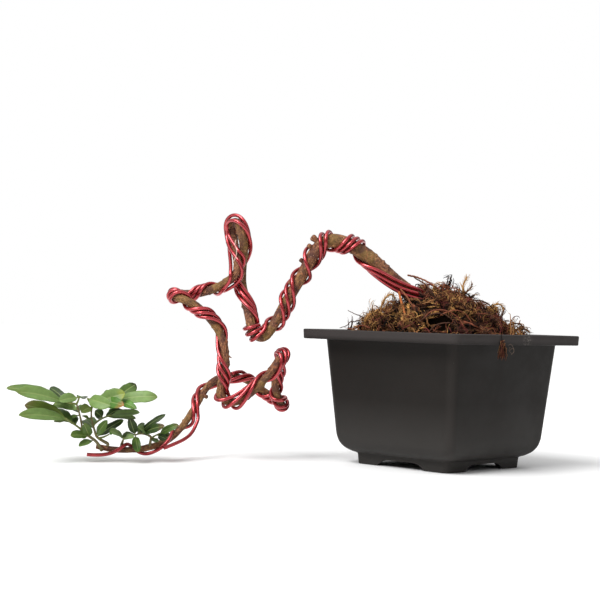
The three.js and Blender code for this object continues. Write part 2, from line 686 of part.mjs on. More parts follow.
function makePot() {
  const lipBottom = POT_HEIGHT - LIP_HEIGHT;
  const flangeUnder = POT_HEIGHT - WALL;
  const rings = [
    squareRing(FOOT_HALF - WALL, FOOT_CORNER - 2, FLOOR_Z - WALL),
    squareRing(FOOT_HALF - WALL - 0.6, FOOT_CORNER - 2, 0),
    squareRing(FOOT_HALF - 0.7, FOOT_CORNER, 0),
    squareRing(FOOT_HALF, FOOT_CORNER, BASE_Z - 1),
    squareRing(BASE_HALF, BODY_CORNER, BASE_Z),
    squareRing(57.3, BODY_CORNER, 13),
    squareRing(60.7, BODY_CORNER, 18),
    squareRing(BODY_LOW_HALF, BODY_CORNER, BODY_LOW_Z),
    squareRing(bodyHalf(flangeUnder), BODY_CORNER, flangeUnder),
    squareRing(RIM_HALF - WALL, RIM_CORNER - 2, flangeUnder),
    squareRing(RIM_HALF - WALL + 0.3, RIM_CORNER - 2, lipBottom),
    squareRing(RIM_HALF - 0.3, RIM_CORNER, lipBottom),
    squareRing(RIM_HALF, RIM_CORNER, POT_HEIGHT - 0.8),
    squareRing(RIM_HALF - 0.8, RIM_CORNER - 0.6, POT_HEIGHT),
    squareRing(hollowHalf(POT_HEIGHT) + 0.8, BODY_CORNER - 1, POT_HEIGHT),
    squareRing(hollowHalf(POT_HEIGHT - 1), BODY_CORNER - 2, POT_HEIGHT - 1),
    squareRing(hollowHalf(BODY_LOW_Z), BODY_CORNER - 2, BODY_LOW_Z),
    squareRing(hollowHalf(19), BODY_CORNER - 2, 19),
    squareRing(hollowHalf(14), BODY_CORNER - 2, 14),
    squareRing(hollowHalf(FLOOR_Z), BODY_CORNER - 2, FLOOR_Z),
  ];
  const cuts = [archCut(), archCut().rotateZ(Math.PI / 2), ...drainCuts()];
  return toGeometry(toSolid(loft(rings)).subtract(join(cuts.map(toSolid))));
}

// Opening with sloping ends through the foot on two opposite sides
function archCut() {
  const wide = ARCH_WIDTH / 2;
  const outline = new THREE.Shape();
  outline.moveTo(-wide, -1).lineTo(wide, -1);
  outline.quadraticCurveTo(wide - 5, ARCH_HEIGHT, wide - 14, ARCH_HEIGHT);
  outline.lineTo(14 - wide, ARCH_HEIGHT);
  outline.quadraticCurveTo(5 - wide, ARCH_HEIGHT, -wide, -1);
  const options = { depth: 2 * BASE_HALF, bevelEnabled: false, curveSegments: 3 };
  const geometry = new THREE.ExtrudeGeometry(outline, options);
  return geometry.translate(0, 0, -BASE_HALF).rotateX(Math.PI / 2);
}

function drainCuts() {
  const places = [[0, 0], [1, 1], [-1, 1], [-1, -1], [1, -1]];
  return places.map(([x, y]) => {
    const hole = new THREE.CylinderGeometry(DRAIN_RADIUS, DRAIN_RADIUS, 8, 12).rotateX(Math.PI / 2);
    return hole.translate(x * DRAIN_SPREAD, y * DRAIN_SPREAD, FLOOR_Z - WALL / 2);
  });
}

// Mesh sheet over the drainage holes
function makeDrainMesh() {
  const middle = FLOOR_Z + GAP + MESH_THICK / 2;
  const sheet = new THREE.BoxGeometry(2 * MESH_HALF, 2 * MESH_HALF, MESH_THICK).translate(0, 0, middle);
  const cell = 2 * MESH_HALF / MESH_OPENINGS;
  const openings = [];
  for (let i = 0; i < MESH_OPENINGS; i++) {
    for (let j = 0; j < MESH_OPENINGS; j++) {
      const opening = new THREE.BoxGeometry(cell - 3, cell - 3, 4 * MESH_THICK);
      openings.push(opening.translate((i + 0.5) * cell - MESH_HALF, (j + 0.5) * cell - MESH_HALF, middle));
    }
  }
  return toGeometry(toSolid(sheet).subtract(join(openings.map(toSolid))));
}

// Soil with plain holes for the trunk and the strands
function makeSoil(lines) {
  const bottom = FLOOR_Z + MESH_THICK + 2 * GAP;
  const rings = [bottom, 14.2, 19, BODY_LOW_Z + 0.2, SOIL_TOP].map((z) => (
    squareRing(hollowHalf(z) - 0.5, BODY_CORNER - 2, z)
  ));
  rings.push(squareRing(40, 12, SOIL_TOP + 0.6));
  const body = toSolid(loft(rings).rotateZ(POT_TURN));
  const holes = lines.map((line) => {
    const buried = line.slice(0, 34);
    const down = buried[0].clone().sub(buried[1]).normalize();
    return toSolid(bar([buried[0].clone().addScaledVector(down, 0.6), ...buried], WIRE_RADIUS + GAP, 8, 12));
  });
  holes.push(toSolid(trunkSkin(-0.6, 62, GAP)));
  return toGeometry(largestBody(body.subtract(join(holes))));
}

// Moss: a lumpy core with loose root fibres that stand out of it, and one hole for the trunk and its strands.
// Rings of the core: height, half width and corner radius. Equal numbers give a round ring.
const MOSS_RINGS = [
  [101.2, 63.5, 14], [107, 64, 24], [111, 61, 50], [117, 56, 50], [124, 50, 50], [131, 42, 42],
  [138, 33, 33], [143, 23, 23],
];

function mossCore() {
  const sides = 28;
  const rings = MOSS_RINGS.map(([z, half, corner], level) => {
    const ring = [];
    for (let j = 0; j < sides; j++) {
      const angle = (j * 2 * Math.PI) / sides;
      const square = half / Math.max(Math.abs(Math.cos(angle)), Math.abs(Math.sin(angle)));
      const reach = Math.min(square, half * 1.42 - corner * 0.42);
      const lump = level < 2 ? 1 : 1 + MOSS_LUMP * (2 * random() - 1);
      const height = level < 2 ? z : z + 1.5 * (2 * random() - 1);
      ring.push(new THREE.Vector3(reach * lump * Math.cos(angle), reach * lump * Math.sin(angle), height));
    }
    return ring;
  });
  rings.push(rings[rings.length - 1].map((p) => new THREE.Vector3(p.x / 2, p.y / 2, MOSS_PEAK - 2)));
  return loft(rings).rotateZ(POT_TURN).translate(-2, 0, 0);
}

// One fibre: it leaves the core, curls over and points away or back in
function mossFibre(order) {
  const level = 2 + order % (MOSS_RINGS.length - 2);
  const [z, half] = MOSS_RINGS[level];
  const around = order * 2.4 + 0.5 * random();
  const outwards = new THREE.Vector3(Math.cos(around), Math.sin(around), 0.1 + level * 0.12).normalize();
  const sideways = new THREE.Vector3(-Math.sin(around), Math.cos(around), 0);
  if (random() < 0.5) sideways.negate();
  const root = new THREE.Vector3(Math.cos(around) * (half - 6), Math.sin(around) * (half - 6), z - 2);
  const reach = 8 + 5 * random();
  const length = 12 + 16 * random();
  const rise = 2 + 6 * random();
  const place = (out, side, up) => {
    const p = root.clone().addScaledVector(outwards, reach * out).addScaledVector(sideways, length * side);
    return p.add(new THREE.Vector3(0, 0, rise * up));
  };
  const points = [root, place(1, 0.2, 0), place(1.15, 0.6, 1), place(0.8, 1, 0.6)];
  return stem(points, FIBRE_RADIUS * 1.2, FIBRE_RADIUS * 0.8, 3, 3);
}

// Upright sprig, aerial roots and loose wisps that stand out of the core
const SPRIGS = [
  [[14, -4, 132], [17, -8, 143], [18, -9, 151], [20, -9, 156]],
  [[42, -14, 122], [45, -18, 130], [44, -20, 137], [40, -20, 141]],
  [[-30, -8, 112], [-34, -15, 127], [-36, -9, 138], [-38, -5, 143]],
  [[-16, -18, 120], [-22, -19, 130], [-31, -13, 139], [-37, -9, 144]],
  [[0, 4, 140], [-2, -2, 149], [-8, -6, 151], [-18, -10, 152]],
  [[-56, -16, 104], [-66, -20, 113], [-74, -22, 117], [-80, -22, 120]],
];

function makeMoss() {
  const solids = [toSolid(mossCore())];
  for (let i = 0; i < FIBRE_COUNT; i++) solids.push(toSolid(mossFibre(i)));
  for (const sprig of SPRIGS) solids.push(toSolid(stem(sprig.map(vector), 1.3, 0.8, 4, 5)));
  const wide = 2 * hollowHalf(SOIL_TOP) - 1.2;
  const inside = new THREE.BoxGeometry(wide, wide, 12).rotateZ(POT_TURN).translate(0, 0, 106.95);
  const above = new THREE.BoxGeometry(300, 300, 80).translate(0, 0, POT_HEIGHT + GAP + 40);
  const room = toSolid(inside).add(toSolid(above));
  const sleeve = toSolid(trunkSkin(30, distanceAt(12), 2 * WIRE_RADIUS + WIRE_SEAT + 2));
  return toGeometry(largestBody(join(solids).intersect(room).subtract(sleeve)));
}

// Leaves

// One leaflet: a thin blade, folded along its midrib and arched, with the same triangles on both faces
function blade(base, tip, width, tilt) {
  const rows = BLADE_PLACES.length - 1;
  const direction = tip.clone().sub(base);
  const length = direction.length();
  direction.normalize();
  const up = new THREE.Vector3(0, -Math.sin(tilt), Math.cos(tilt));
  const across = new THREE.Vector3().crossVectors(direction, up).normalize();
  const face = new THREE.Vector3().crossVectors(across, direction).normalize();
  const points = [];
  for (const thickness of [BLADE_THICK / 2, -BLADE_THICK / 2]) {
    for (let i = 0; i <= rows; i++) {
      const t = BLADE_PLACES[i];
      const half = 0.45 + (width / 2 - 0.45) * BLADE_WIDTHS[i];
      for (const side of [-1, 0, 1]) {
        const middle = base.clone().addScaledVector(direction, t * length);
        middle.addScaledVector(across, side * half * (side > 0 ? 1.1 : 0.9));
        const height = 0.07 * length * Math.sin(Math.PI * t) + 0.18 * half * Math.abs(side);
        middle.addScaledVector(face, height + thickness);
        points.push(middle);
      }
    }
  }
  const under = (rows + 1) * 3;
  const index = [];
  for (let i = 0; i < rows; i++) {
    for (let j = 0; j < 2; j++) {
      const a = i * 3 + j;
      index.push(a, a + 1, a + 4, a, a + 4, a + 3);
      index.push(under + a, under + a + 4, under + a + 1, under + a, under + a + 3, under + a + 4);
    }
  }
  const edge = [];
  for (let i = 0; i < rows; i++) edge.push(i * 3);
  edge.push(rows * 3, rows * 3 + 1);
  for (let i = rows; i > 0; i--) edge.push(i * 3 + 2);
  edge.push(2, 1);
  edge.forEach((a, k) => {
    const b = edge[(k + 1) % edge.length];
    index.push(a, b, under + b, a, under + b, under + a);
  });
  const geometry = new THREE.BufferGeometry().setFromPoints(points);
  geometry.setIndex(index);
  return geometry;
}

function makeShoot(stems) {
  const solids = [];
  stems.forEach((entry, order) => {
    const points = entry.route.map(vector);
    const root = order === 0 ? RACHIS_RADIUS * 1.5 : RACHIS_RADIUS;
    solids.push(toSolid(stem(points, root, RACHIS_RADIUS * 0.8, 4, entry.route.length - 1)));
    const curve = new THREE.CatmullRomCurve3(points, false, 'centripetal');
    for (const [place, tip, width, tilt] of entry.leaflets) {
      const end = vector(tip);
      const base = curve.getPointAt(place * 0.98);
      solids.push(toSolid(blade(base, end, width, THREE.MathUtils.degToRad(tilt))));
    }
  });
  return toGeometry(join(solids));
}

// Materials

function material(color, roughness, metalness) {
  return new THREE.MeshStandardMaterial({ color, roughness, metalness });
}

const potPlastic = material(0x363433, 0.55, 0);
const meshPlastic = material(0x222222, 0.6, 0);
const soilMix = material(0x3b2a1d, 1, 0);
const mossFibres = material(0x7a6024, 1, 0);
const bark = material(0x6f5a3e, 0.9, 0);
const redWire = material(0xb02c38, 0.35, 0.8);
const leafGreen = material(0x567a3a, 0.6, 0);

// Assembly

const bonsai = new THREE.Group();

function addPiece(name, geometry, surface) {
  const mesh = new THREE.Mesh(geometry, surface);
  mesh.name = name;
  bonsai.add(mesh);
  return mesh;
}

const lines = strandLines();
addPiece('pot', makePot(), potPlastic).rotation.z = POT_TURN;
addPiece('drain_mesh', makeDrainMesh(), meshPlastic).rotation.z = POT_TURN;
addPiece('soil', makeSoil(lines), soilMix);
addPiece('moss', makeMoss(), mossFibres);
addPiece('trunk', makeTrunk(), bark);
STRANDS.forEach((strand, i) => {
  addPiece(strand.name, bar(lines[i], WIRE_RADIUS, WIRE_SIDES, WIRE_RING_STEP), redWire);
});
for (const [name, stems] of Object.entries(SHOOTS)) addPiece(name, makeShoot(stems), leafGreen);

const size = new THREE.Box3().setFromObject(bonsai, true);
bonsai.position.set(-(size.min.x + size.max.x) / 2, -(size.min.y + size.max.y) / 2, -size.min.z);

export default bonsai;
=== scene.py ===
"""Looks of the potted bonsai: pot, moss, trunk, wires and leafy shoots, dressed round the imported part.

Shapes are worked out in millimetres in the pot's frame and put in place, in metres, when a mesh is made.
The pot's axis is X = Y = 0, the surface it stands on is Z = 0, and -Y is the front.
"""

import math

import bmesh
import bpy
import numpy as np
from mathutils import Matrix, Vector


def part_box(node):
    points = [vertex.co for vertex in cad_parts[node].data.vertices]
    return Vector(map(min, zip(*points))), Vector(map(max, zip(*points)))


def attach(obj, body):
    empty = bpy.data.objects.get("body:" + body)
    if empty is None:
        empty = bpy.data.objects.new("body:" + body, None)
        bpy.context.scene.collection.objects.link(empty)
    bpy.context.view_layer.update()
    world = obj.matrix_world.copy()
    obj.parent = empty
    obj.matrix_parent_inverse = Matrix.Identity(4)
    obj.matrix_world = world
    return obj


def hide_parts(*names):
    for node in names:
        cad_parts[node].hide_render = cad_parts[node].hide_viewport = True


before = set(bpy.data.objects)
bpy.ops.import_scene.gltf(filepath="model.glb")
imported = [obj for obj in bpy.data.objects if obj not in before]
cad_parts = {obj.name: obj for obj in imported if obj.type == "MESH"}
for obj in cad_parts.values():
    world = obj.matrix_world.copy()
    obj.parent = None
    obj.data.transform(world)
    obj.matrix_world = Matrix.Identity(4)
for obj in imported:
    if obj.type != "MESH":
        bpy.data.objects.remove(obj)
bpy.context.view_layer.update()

POT_LOW, POT_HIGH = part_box("pot")
POT_AXIS = np.array([(POT_LOW.x + POT_HIGH.x) / 2, (POT_LOW.y + POT_HIGH.y) / 2, 0.0])

# Camera, in the pot's frame: place in mm, pitch up and roll in radians, focal length in image widths
CAMERA_PLACE = (-117.7, -1250.9, 121.0)
CAMERA_PITCH = 0.010
CAMERA_ROLL = 0.0277
CAMERA_FOCAL = 1511 / 600

# Pot
POT_TURN = 0.795
POT_HEIGHT = 110.0
RIM_HALF = 82.5
RIM_CORNER = 6.0
LIP_HEIGHT = 8.0
WALL = 2.5
BODY_TOP_HALF = 69.8
BODY_LOW_HALF = 62.2
BODY_LOW_Z = 24.0
BODY_CORNER = 8.0
BODY_BENDS = [(13, 57.3), (18, 60.7)]
HOLLOW_BENDS = [(14, 54.5), (19, 58)]
BASE_HALF = 52.5
BASE_Z = 10.0
FOOT_HALF = 48.5
FOOT_CORNER = 5.0
FLOOR_Z = 11.0
ARCH_WIDTH = 52.0
ARCH_HEIGHT = 5.5
ARCH_SLOPE = 14
ARCH_BEND = 5
ARCH_STEPS = 8
DRAIN_RADIUS = 5.0
DRAIN_SPREAD = 22.0
DRAIN_SIDES = 32
CORNER_STEPS = 8
FILLET_STEPS = 3
SHARP_EDGE = math.radians(35)
SCUFF_MIDDLE = (63.9, -52.8, 106.0)

# Wire and its winding; the strands stand off the trunk a little more near the soil
WIRE_RADIUS = 1.5
WIRE_SEAT = 0.7
WIRE_PITCH = 3.45
WIRE_CLEAR = 3.75
WIRE_STEP = 2.0
WIRE_SIDES = 18
LEAST_CROWDING = 0.4
BURIED_WAY_POINT = 3.6
BURIED_TURN = 3.2
SOIL_LIFT = 1.4
SOIL_LIFT_END = 46
SOIL_LIFT_FADE = 20

# Settling of the strands
SETTLING_ROUNDS = 80
UNEASED_ROUNDS = 15
EASING = 0.12
PUSH_SHARE = 0.25
SEAT_SLACK = 0.05
NEAR_BALL = 0.6
BALL_STEP = 0.5
BALL_SHARE = 1.1

# Steps of curves
SAMPLES_PER_SPAN = 10
SPAN_STEPS = 20

# Way-points of the trunk from its foot in the soil to its tip: x, y, z and radius
TRUNK = [
    [0, 6, 56, 8.6], [0, 6, 68, 8.6], [0, 6, 80, 8.4], [0, 6, 92, 8], [-2, 5, 108, 7.4],
    [-11, 2, 127, 6.8], [-26, -1, 141, 6.4], [-40, -3, 151, 6.2], [-52, -5, 162, 6.1],
    [-65, -6, 173, 6.1], [-78, -7, 180, 6.1], [-91, -8, 184, 6], [-101, -8, 181, 5.6],
    [-108, -8, 171, 5.2], [-113, -8, 161, 5], [-118, -8, 151, 4.8], [-124, -8, 140, 4.7],
    [-130, -8, 129, 4.6], [-135, -9, 119, 4.5], [-139, -10, 112, 4.4], [-142, -11, 107, 4.3],
    [-145, -11, 103, 4.3], [-149, -12, 101.3, 4.2], [-153.5, -12, 104, 4.1], [-156.8, -12, 109.5, 4.1],
    [-158.5, -9, 116, 4], [-160.6, -4, 125, 4], [-163.9, 1, 135.1, 3.9], [-166.4, 5, 145.5, 3.8],
    [-166.9, 6, 156.3, 3.8], [-165.7, 2.5, 167.5, 3.8], [-164.9, -4, 177.2, 3.7],
    [-167.1, -9, 188.4, 3.7], [-172.4, -2, 198.3, 3.7], [-176.7, 8, 195.3, 3.6], [-174.5, 9, 185, 3.6],
    [-172.6, 2, 173.5, 3.6], [-169.3, -7, 162.1, 3.5], [-169.8, -9, 152.9, 3.5], [-179, -6, 145.5, 3.5],
    [-192.1, 2, 139.1, 3.5], [-205.7, 9, 136, 3.5], [-216.8, 10, 136, 3.5], [-222.5, 2, 135, 3.5],
    [-220, -8, 133, 3.5], [-213, -13, 131, 3.5], [-205, -13, 128, 3.5], [-197, -13, 122, 3.4],
    [-188, -13, 113, 3.4], [-181, -13, 103, 3.4], [-178, -13, 92, 3.4], [-177, -13, 80, 3.4],
    [-179, -13, 69, 3.4], [-181, -13, 60, 3.4], [-180.5, -13, 53.5, 3.3], [-176.5, -13, 49, 3.3],
    [-169.5, -14, 47.5, 3.3], [-162, -14, 51, 3.3], [-154, -14, 58, 3.3], [-146, -14, 66, 3.3],
    [-139, -14, 75, 3.3], [-133.5, -11, 84, 3.3], [-130, -1, 89, 3.2], [-130, 9, 85.5, 3.2],
    [-132.5, 13, 77, 3.2], [-137, 13, 67, 3.2], [-136.5, 12, 58, 3.2], [-133, 12, 51, 3.2],
    [-130.5, 17, 46, 3.1], [-130.5, 25, 45, 3.1], [-134, 31, 48, 3.1], [-141, 31, 53, 3.1],
    [-148, 29, 57, 3], [-157, 27, 63, 3], [-166, 24, 67, 3], [-175, 20, 69, 3], [-184, 16, 67, 3],
    [-192, 11, 61, 3], [-197, 7, 53, 3], [-201, 2, 44, 3], [-206, -4, 35, 3], [-212, -11, 26, 3],
    [-218, -18, 19, 2.9], [-226, -25, 14, 2.8], [-236, -31, 11, 2.7], [-247, -36, 9, 2.6],
    [-258, -40, 9, 2.4], [-268, -43, 10, 2.3], [-277, -45, 12, 2.2],
]

# Sides of the trunk that the middle strand lies on
FRONT = (0, -1, 0)
TOP = (0, 0, 1)
UNDER = (0, 0, -1)
LEFT = (-1, 0, 0)
RIGHT = (1, 0, 0)
LOW_RIGHT = (0.7, 0, -0.7)
LOW_LEFT = (-0.7, 0, -0.7)
HIGH_LEFT = (-0.7, 0, 0.7)

# Winding of the middle strand: way-point number, the side it lies on, and the turns since the last entry
WINDING = [
    (6.3, FRONT, 0), (8.9, LOW_LEFT, 0.25), (10, FRONT, 0.75), (12.3, FRONT, 1), (16.7, FRONT, 1),
    (22.2, FRONT, 1), (24.9, RIGHT, 0.75), (26.8, FRONT, 0.25), (31.6, RIGHT, 0.75), (32.9, TOP, 0.25),
    (36.9, FRONT, 0.5), (38.4, RIGHT, 0.25), (39.6, UNDER, 0), (40.6, FRONT, 0.75), (43.5, LEFT, 0.5),
    (46.9, FRONT, 1), (51.8, FRONT, 1), (55, LOW_LEFT, 0.75), (56.4, FRONT, 0.25),
    (58.8, HIGH_LEFT, 0.25), (60, LOW_RIGHT, 0.5), (61.1, RIGHT, 0), (61.8, TOP, 0.25),
    (62.6, LEFT, 0.25), (64, FRONT, 0.25), (67.9, LOW_RIGHT, 1), (69.8, FRONT, 0.5), (74.6, FRONT, 1),
    (79.6, FRONT, 1), (82.2, FRONT, 1), (84.5, UNDER, 0.25), (86, FRONT, 0.75),
]

# How far the outer strands lie from the middle one: way-point number and the factors of the two
SPREAD = [
    (0, 2, 2), (3.5, 2, 2), (5, 1.2, 1.2), (8, 1.15, 1.15), (10, 1.15, 1.15), (12, 1.1, 3.2),
    (13, 1.1, 4.6), (14.5, 1.2, 2.2), (16.7, 1.8, 1.8), (21, 1.2, 1.2), (22.4, 1.3, 1.3), (24, 1.1, 1.1),
    (26, 1.1, 1.1), (28, 1.2, 1.2), (31, 1, 1), (35, 1.2, 1.2), (36, 1.8, 1.8), (37, 2.8, 2.8),
    (38.2, 2.4, 2.4), (39.5, 1.2, 1.2), (41, 1, 1), (42, 1, 1), (46.8, 1.15, 1.15), (49, 1.05, 1.05),
    (51.3, 1.4, 1.4), (53, 1.2, 1.2), (55.4, 1.5, 1.5), (58, 1.1, 1.1), (60, 1, 1), (64, 1, 1),
    (74, 1.2, 1.2), (88, 1, 1),
]

# Loose ends of two strands
LOOSE_A = [(-201, -9, 27), (-201, -12, 23), (-204, -16, 19), (-211, -23, 16), (-224, -33, 11)]
LOOSE_B = [(-275, -52, 5), (-283, -53, 6)]

# Strands: name, which side of the middle strand, start in mm, last way-point and loose tail
STRANDS = [("wire_a", 1, 10, 79.7, LOOSE_A), ("wire_b", 0, 13, 86.5, LOOSE_B), ("wire_c", -1, 7, 74.9, [])]

# Cut stubs and buds on the trunk: way-point number, direction, length and radius
STUBS = [
    (12, (-0.85, -0.1, 0.5), 9.8, 2.3), (12.6, (-0.85, -0.3, 0.35), 8, 1.7),
    (13.9, (-0.8, -0.2, 0.6), 7.2, 1.5), (15.6, (-0.8, -0.4, 0.45), 6.6, 1.4),
    (18.2, (0.85, -0.3, -0.4), 6.2, 1.4), (50.3, (0.75, -0.25, -0.6), 7.4, 0.9),
    (78, (0.7, -0.5, -0.4), 5.5, 1.4),
]

rng = np.random.default_rng(7)


# Small mathematics

def unit(v):
    v = np.asarray(v, float)
    return v / np.linalg.norm(v, axis=-1, keepdims=True)


def lattice(ix, iy, iz, seed):
    """Fixed pseudo-random value from -1 to 1 at whole-number places."""
    h = (ix * 374761393 + iy * 668265263 + iz * 2147483647 + seed * 1274126177) & 0xFFFFFFFF
    h = ((h ^ (h >> 13)) * 1274126177) & 0xFFFFFFFF
    h = ((h ^ (h >> 16)) * 2246822519) & 0xFFFFFFFF
    return (h & 0xFFFF) / 32767.5 - 1.0


def noise(points, scale, seed=0):
    """Smooth noise from -1 to 1 at points, with features about `scale` wide."""
    p = np.asarray(points, float) / scale
    cell = np.floor(p).astype(np.int64)
    f = p - cell
    f = f * f * (3 - 2 * f)
    total = np.zeros(len(p))
    for dx in (0, 1):
        for dy in (0, 1):
            for dz in (0, 1):
                weight = (
                    (f[:, 0] if dx else 1 - f[:, 0])
                    * (f[:, 1] if dy else 1 - f[:, 1])
                    * (f[:, 2] if dz else 1 - f[:, 2])
                )
                total += weight * lattice(cell[:, 0] + dx, cell[:, 1] + dy, cell[:, 2] + dz, seed)
    return total


def distances(points):
    """Distance of each point along the line from its start."""
    return np.concatenate([[0], np.cumsum(np.linalg.norm(np.diff(points, axis=0), axis=1))])


def catmull(points, spacing=None, count=None):
    """Centripetal curve through points, as evenly spaced points."""
    p = np.asarray(points, float)
    p = np.vstack([2 * p[0] - p[1], p, 2 * p[-1] - p[-2]])
    fine = []
    for i in range(1, len(p) - 2):
        x0, x1, x2, x3 = p[i - 1 : i + 3]
        d0, d1, d2 = (max(np.linalg.norm(b - a), 1e-9) ** 0.5 for a, b in ((x0, x1), (x1, x2), (x2, x3)))
        m1 = ((x1 - x0) / d0 - (x2 - x0) / (d0 + d1) + (x2 - x1) / d1) * d1
        m2 = ((x2 - x1) / d1 - (x3 - x1) / (d1 + d2) + (x3 - x2) / d2) * d1
        steps = SPAN_STEPS if i < len(p) - 3 else SPAN_STEPS + 1
        t = np.linspace(0, 1, SPAN_STEPS + 1)[:steps, None]
        fine.append(
            x1 + m1 * t + (-3 * x1 + 3 * x2 - 2 * m1 - m2) * t**2 + (2 * x1 - 2 * x2 + m1 + m2) * t**3
        )
    fine = np.vstack(fine)
    length = distances(fine)
    steps = count or max(round(length[-1] / spacing), 1)
    at = np.linspace(0, length[-1], steps + 1)
    return np.stack([np.interp(at, length, fine[:, k]) for k in range(3)], axis=1)


def carry_frames(points, start=None):
    """Tangents and twist-free normals along points."""
    n = len(points)
    tangent = unit(points[np.minimum(np.arange(n) + 1, n - 1)] - points[np.maximum(np.arange(n) - 1, 0)])
    if start is None:
        start = np.cross(tangent[0], (0.3, 0.2, 1.0) if abs(tangent[0][2]) < 0.9 else (1.0, 0.2, 0.3))
    normal = np.zeros((n, 3))
    normal[0] = unit(start - tangent[0] * np.dot(start, tangent[0]))
    for i in range(n - 1):
        v1 = points[i + 1] - points[i]
        c1 = v1 @ v1
        r = normal[i] - v1 * (2 * (v1 @ normal[i]) / c1)
        t = tangent[i] - v1 * (2 * (v1 @ tangent[i]) / c1)
        v2 = tangent[i + 1] - t
        c2 = v2 @ v2
        normal[i + 1] = r - v2 * (2 * (v2 @ r) / c2) if c2 > 1e-12 else r
    return tangent, normal


def across(normal, side, angle):
    """Directions square to a line, at angles in its carried frames."""
    return normal * np.cos(angle)[:, None] + side * np.sin(angle)[:, None]


def turned(x, y, angle):
    c, s = math.cos(angle), math.sin(angle)
    return x * c - y * s, x * s + y * c


def broken_line(pairs):
    xs, ys = zip(*pairs)
    return lambda x: np.interp(x, xs, ys)


def rising_curve(places, values):
    """Smooth rising curve through the given places and values, without overshoot."""
    x, y = np.asarray(places, float), np.asarray(values, float)
    h = np.diff(x)
    slope = np.diff(y) / h
    m = [slope[0]]
    for i in range(1, len(x) - 1):
        w1, w2 = 2 * h[i] + h[i - 1], h[i] + 2 * h[i - 1]
        if slope[i - 1] * slope[i] <= 0:
            m.append(0.0)
        else:
            m.append((w1 + w2) / (w1 / slope[i - 1] + w2 / slope[i]))
    m = np.array(m + [slope[-1]])

    def value(at):
        inside = np.clip(at, x[0], x[-1])
        i = np.clip(np.searchsorted(x, inside, side="right") - 1, 0, len(x) - 2)
        t = (inside - x[i]) / h[i]
        return (
            (2 * t**3 - 3 * t * t + 1) * y[i]
            + (t**3 - 2 * t * t + t) * h[i] * m[i]
            + (-2 * t**3 + 3 * t * t) * y[i + 1]
            + (t**3 - t * t) * h[i] * m[i + 1]
        )

    return value


# Route of the trunk and the strands wound on it

class Route:
    """Cubic B-spline that follows the way-points, with a frame carried along without twist."""

    def __init__(self, way_points):
        w = np.array(way_points, float)
        knots = np.vstack([2 * w[0] - w[1], w, 2 * w[-1] - w[-2]])
        i = np.arange((len(w) - 1) * SAMPLES_PER_SPAN + 1)
        span = np.minimum(i // SAMPLES_PER_SPAN, len(w) - 2)
        t = (i / SAMPLES_PER_SPAN - span)[:, None]
        weights = [(1 - t) ** 3, 3 * t**3 - 6 * t * t + 4, -3 * t**3 + 3 * t * t + 3 * t + 1, t**3]
        value = sum(weight * knots[span + k] for k, weight in enumerate(weights)) / 6
        self.point, self.radius = value[:, :3], value[:, 3]
        self.s = distances(self.point)
        self.tangent, self.normal = carry_frames(self.point, np.array(FRONT, float))
        self.length = self.s[-1]

    def at_index(self, index):
        i = np.clip(np.floor(index).astype(int), 0, len(self.s) - 2)
        return self.blend(i, index - i)

    def along(self, s):
        s = np.atleast_1d(np.asarray(s, float))
        i = np.clip(np.searchsorted(self.s, s, side="right") - 1, 0, len(self.s) - 2)
        return self.blend(i, (s - self.s[i]) / (self.s[i + 1] - self.s[i]))

    def blend(self, i, t):
        i, t = np.atleast_1d(i), np.atleast_1d(t)[:, None]

        def mix(a):
            return a[i] * (1 - t) + a[i + 1] * t

        tangent = unit(mix(self.tangent))
        normal = mix(self.normal)
        normal = unit(normal - tangent * (normal * tangent).sum(1, keepdims=True))
        radius = self.radius[i] * (1 - t[:, 0]) + self.radius[i + 1] * t[:, 0]
        s = self.s[i] * (1 - t[:, 0]) + self.s[i + 1] * t[:, 0]
        return mix(self.point), radius, tangent, normal, np.cross(normal, tangent), s

    def station(self, way_point):
        point, radius, tangent, normal, side, s = self.at_index(np.array([way_point * SAMPLES_PER_SPAN]))
        return point[0], radius[0], tangent[0], normal[0], side[0], s[0]


route = Route(TRUNK)


def distance_at(way_point):
    return route.station(way_point)[5]


def winding_curve():
    """Angle of the middle strand round the trunk against distance; in the soil the strand is straight."""
    places, angles = [], []
    for way_point, direction, turns in WINDING:
        _, _, _, normal, side, s = route.station(way_point)
        angle = math.atan2(np.dot(direction, side), np.dot(direction, normal))
        if angles:
            wanted = angles[-1] + 2 * math.pi * turns
            off = angle - wanted
            angle = wanted + off - 2 * math.pi * math.floor(off / (2 * math.pi) + 0.5)
        places.append(s)
        angles.append(angle)
    places = [0, distance_at(BURIED_WAY_POINT)] + places + [route.length]
    angles = [angles[0] - BURIED_TURN] * 2 + angles + [angles[-1] + math.pi]
    return rising_curve(places, angles)


def wound_line(side_of_middle, start, last, winding_angle, spread):
    """Centre line of one strand, as points laid on the trunk."""
    s = np.arange(start, distance_at(last) + 1e-9, WIRE_STEP)
    _, radius, _, normal, side, _ = route.along(s)
    angle = winding_angle(s)
    reach = radius + WIRE_RADIUS + WIRE_SEAT
    slope = (winding_angle(s + 1) - winding_angle(s - 1)) / 2
    lean = np.arctan2(reach * slope, 1)
    offset = side_of_middle * WIRE_PITCH * spread(s)
    bend = (route.along(s + 1)[2] - route.along(s - 1)[2]) / 2
    crowding = np.maximum(1 - reach * (bend * across(normal, side, angle)).sum(1), LEAST_CROWDING)
    point, radius, _, normal, side, _ = route.along(s - offset * np.sin(lean) / crowding)
    out = across(normal, side, angle + offset * np.cos(lean) / reach)
    lift = SOIL_LIFT * np.clip((SOIL_LIFT_END - s) / SOIL_LIFT_FADE, 0, 1)
    return point + out * (radius + WIRE_RADIUS + WIRE_SEAT + lift)[:, None]


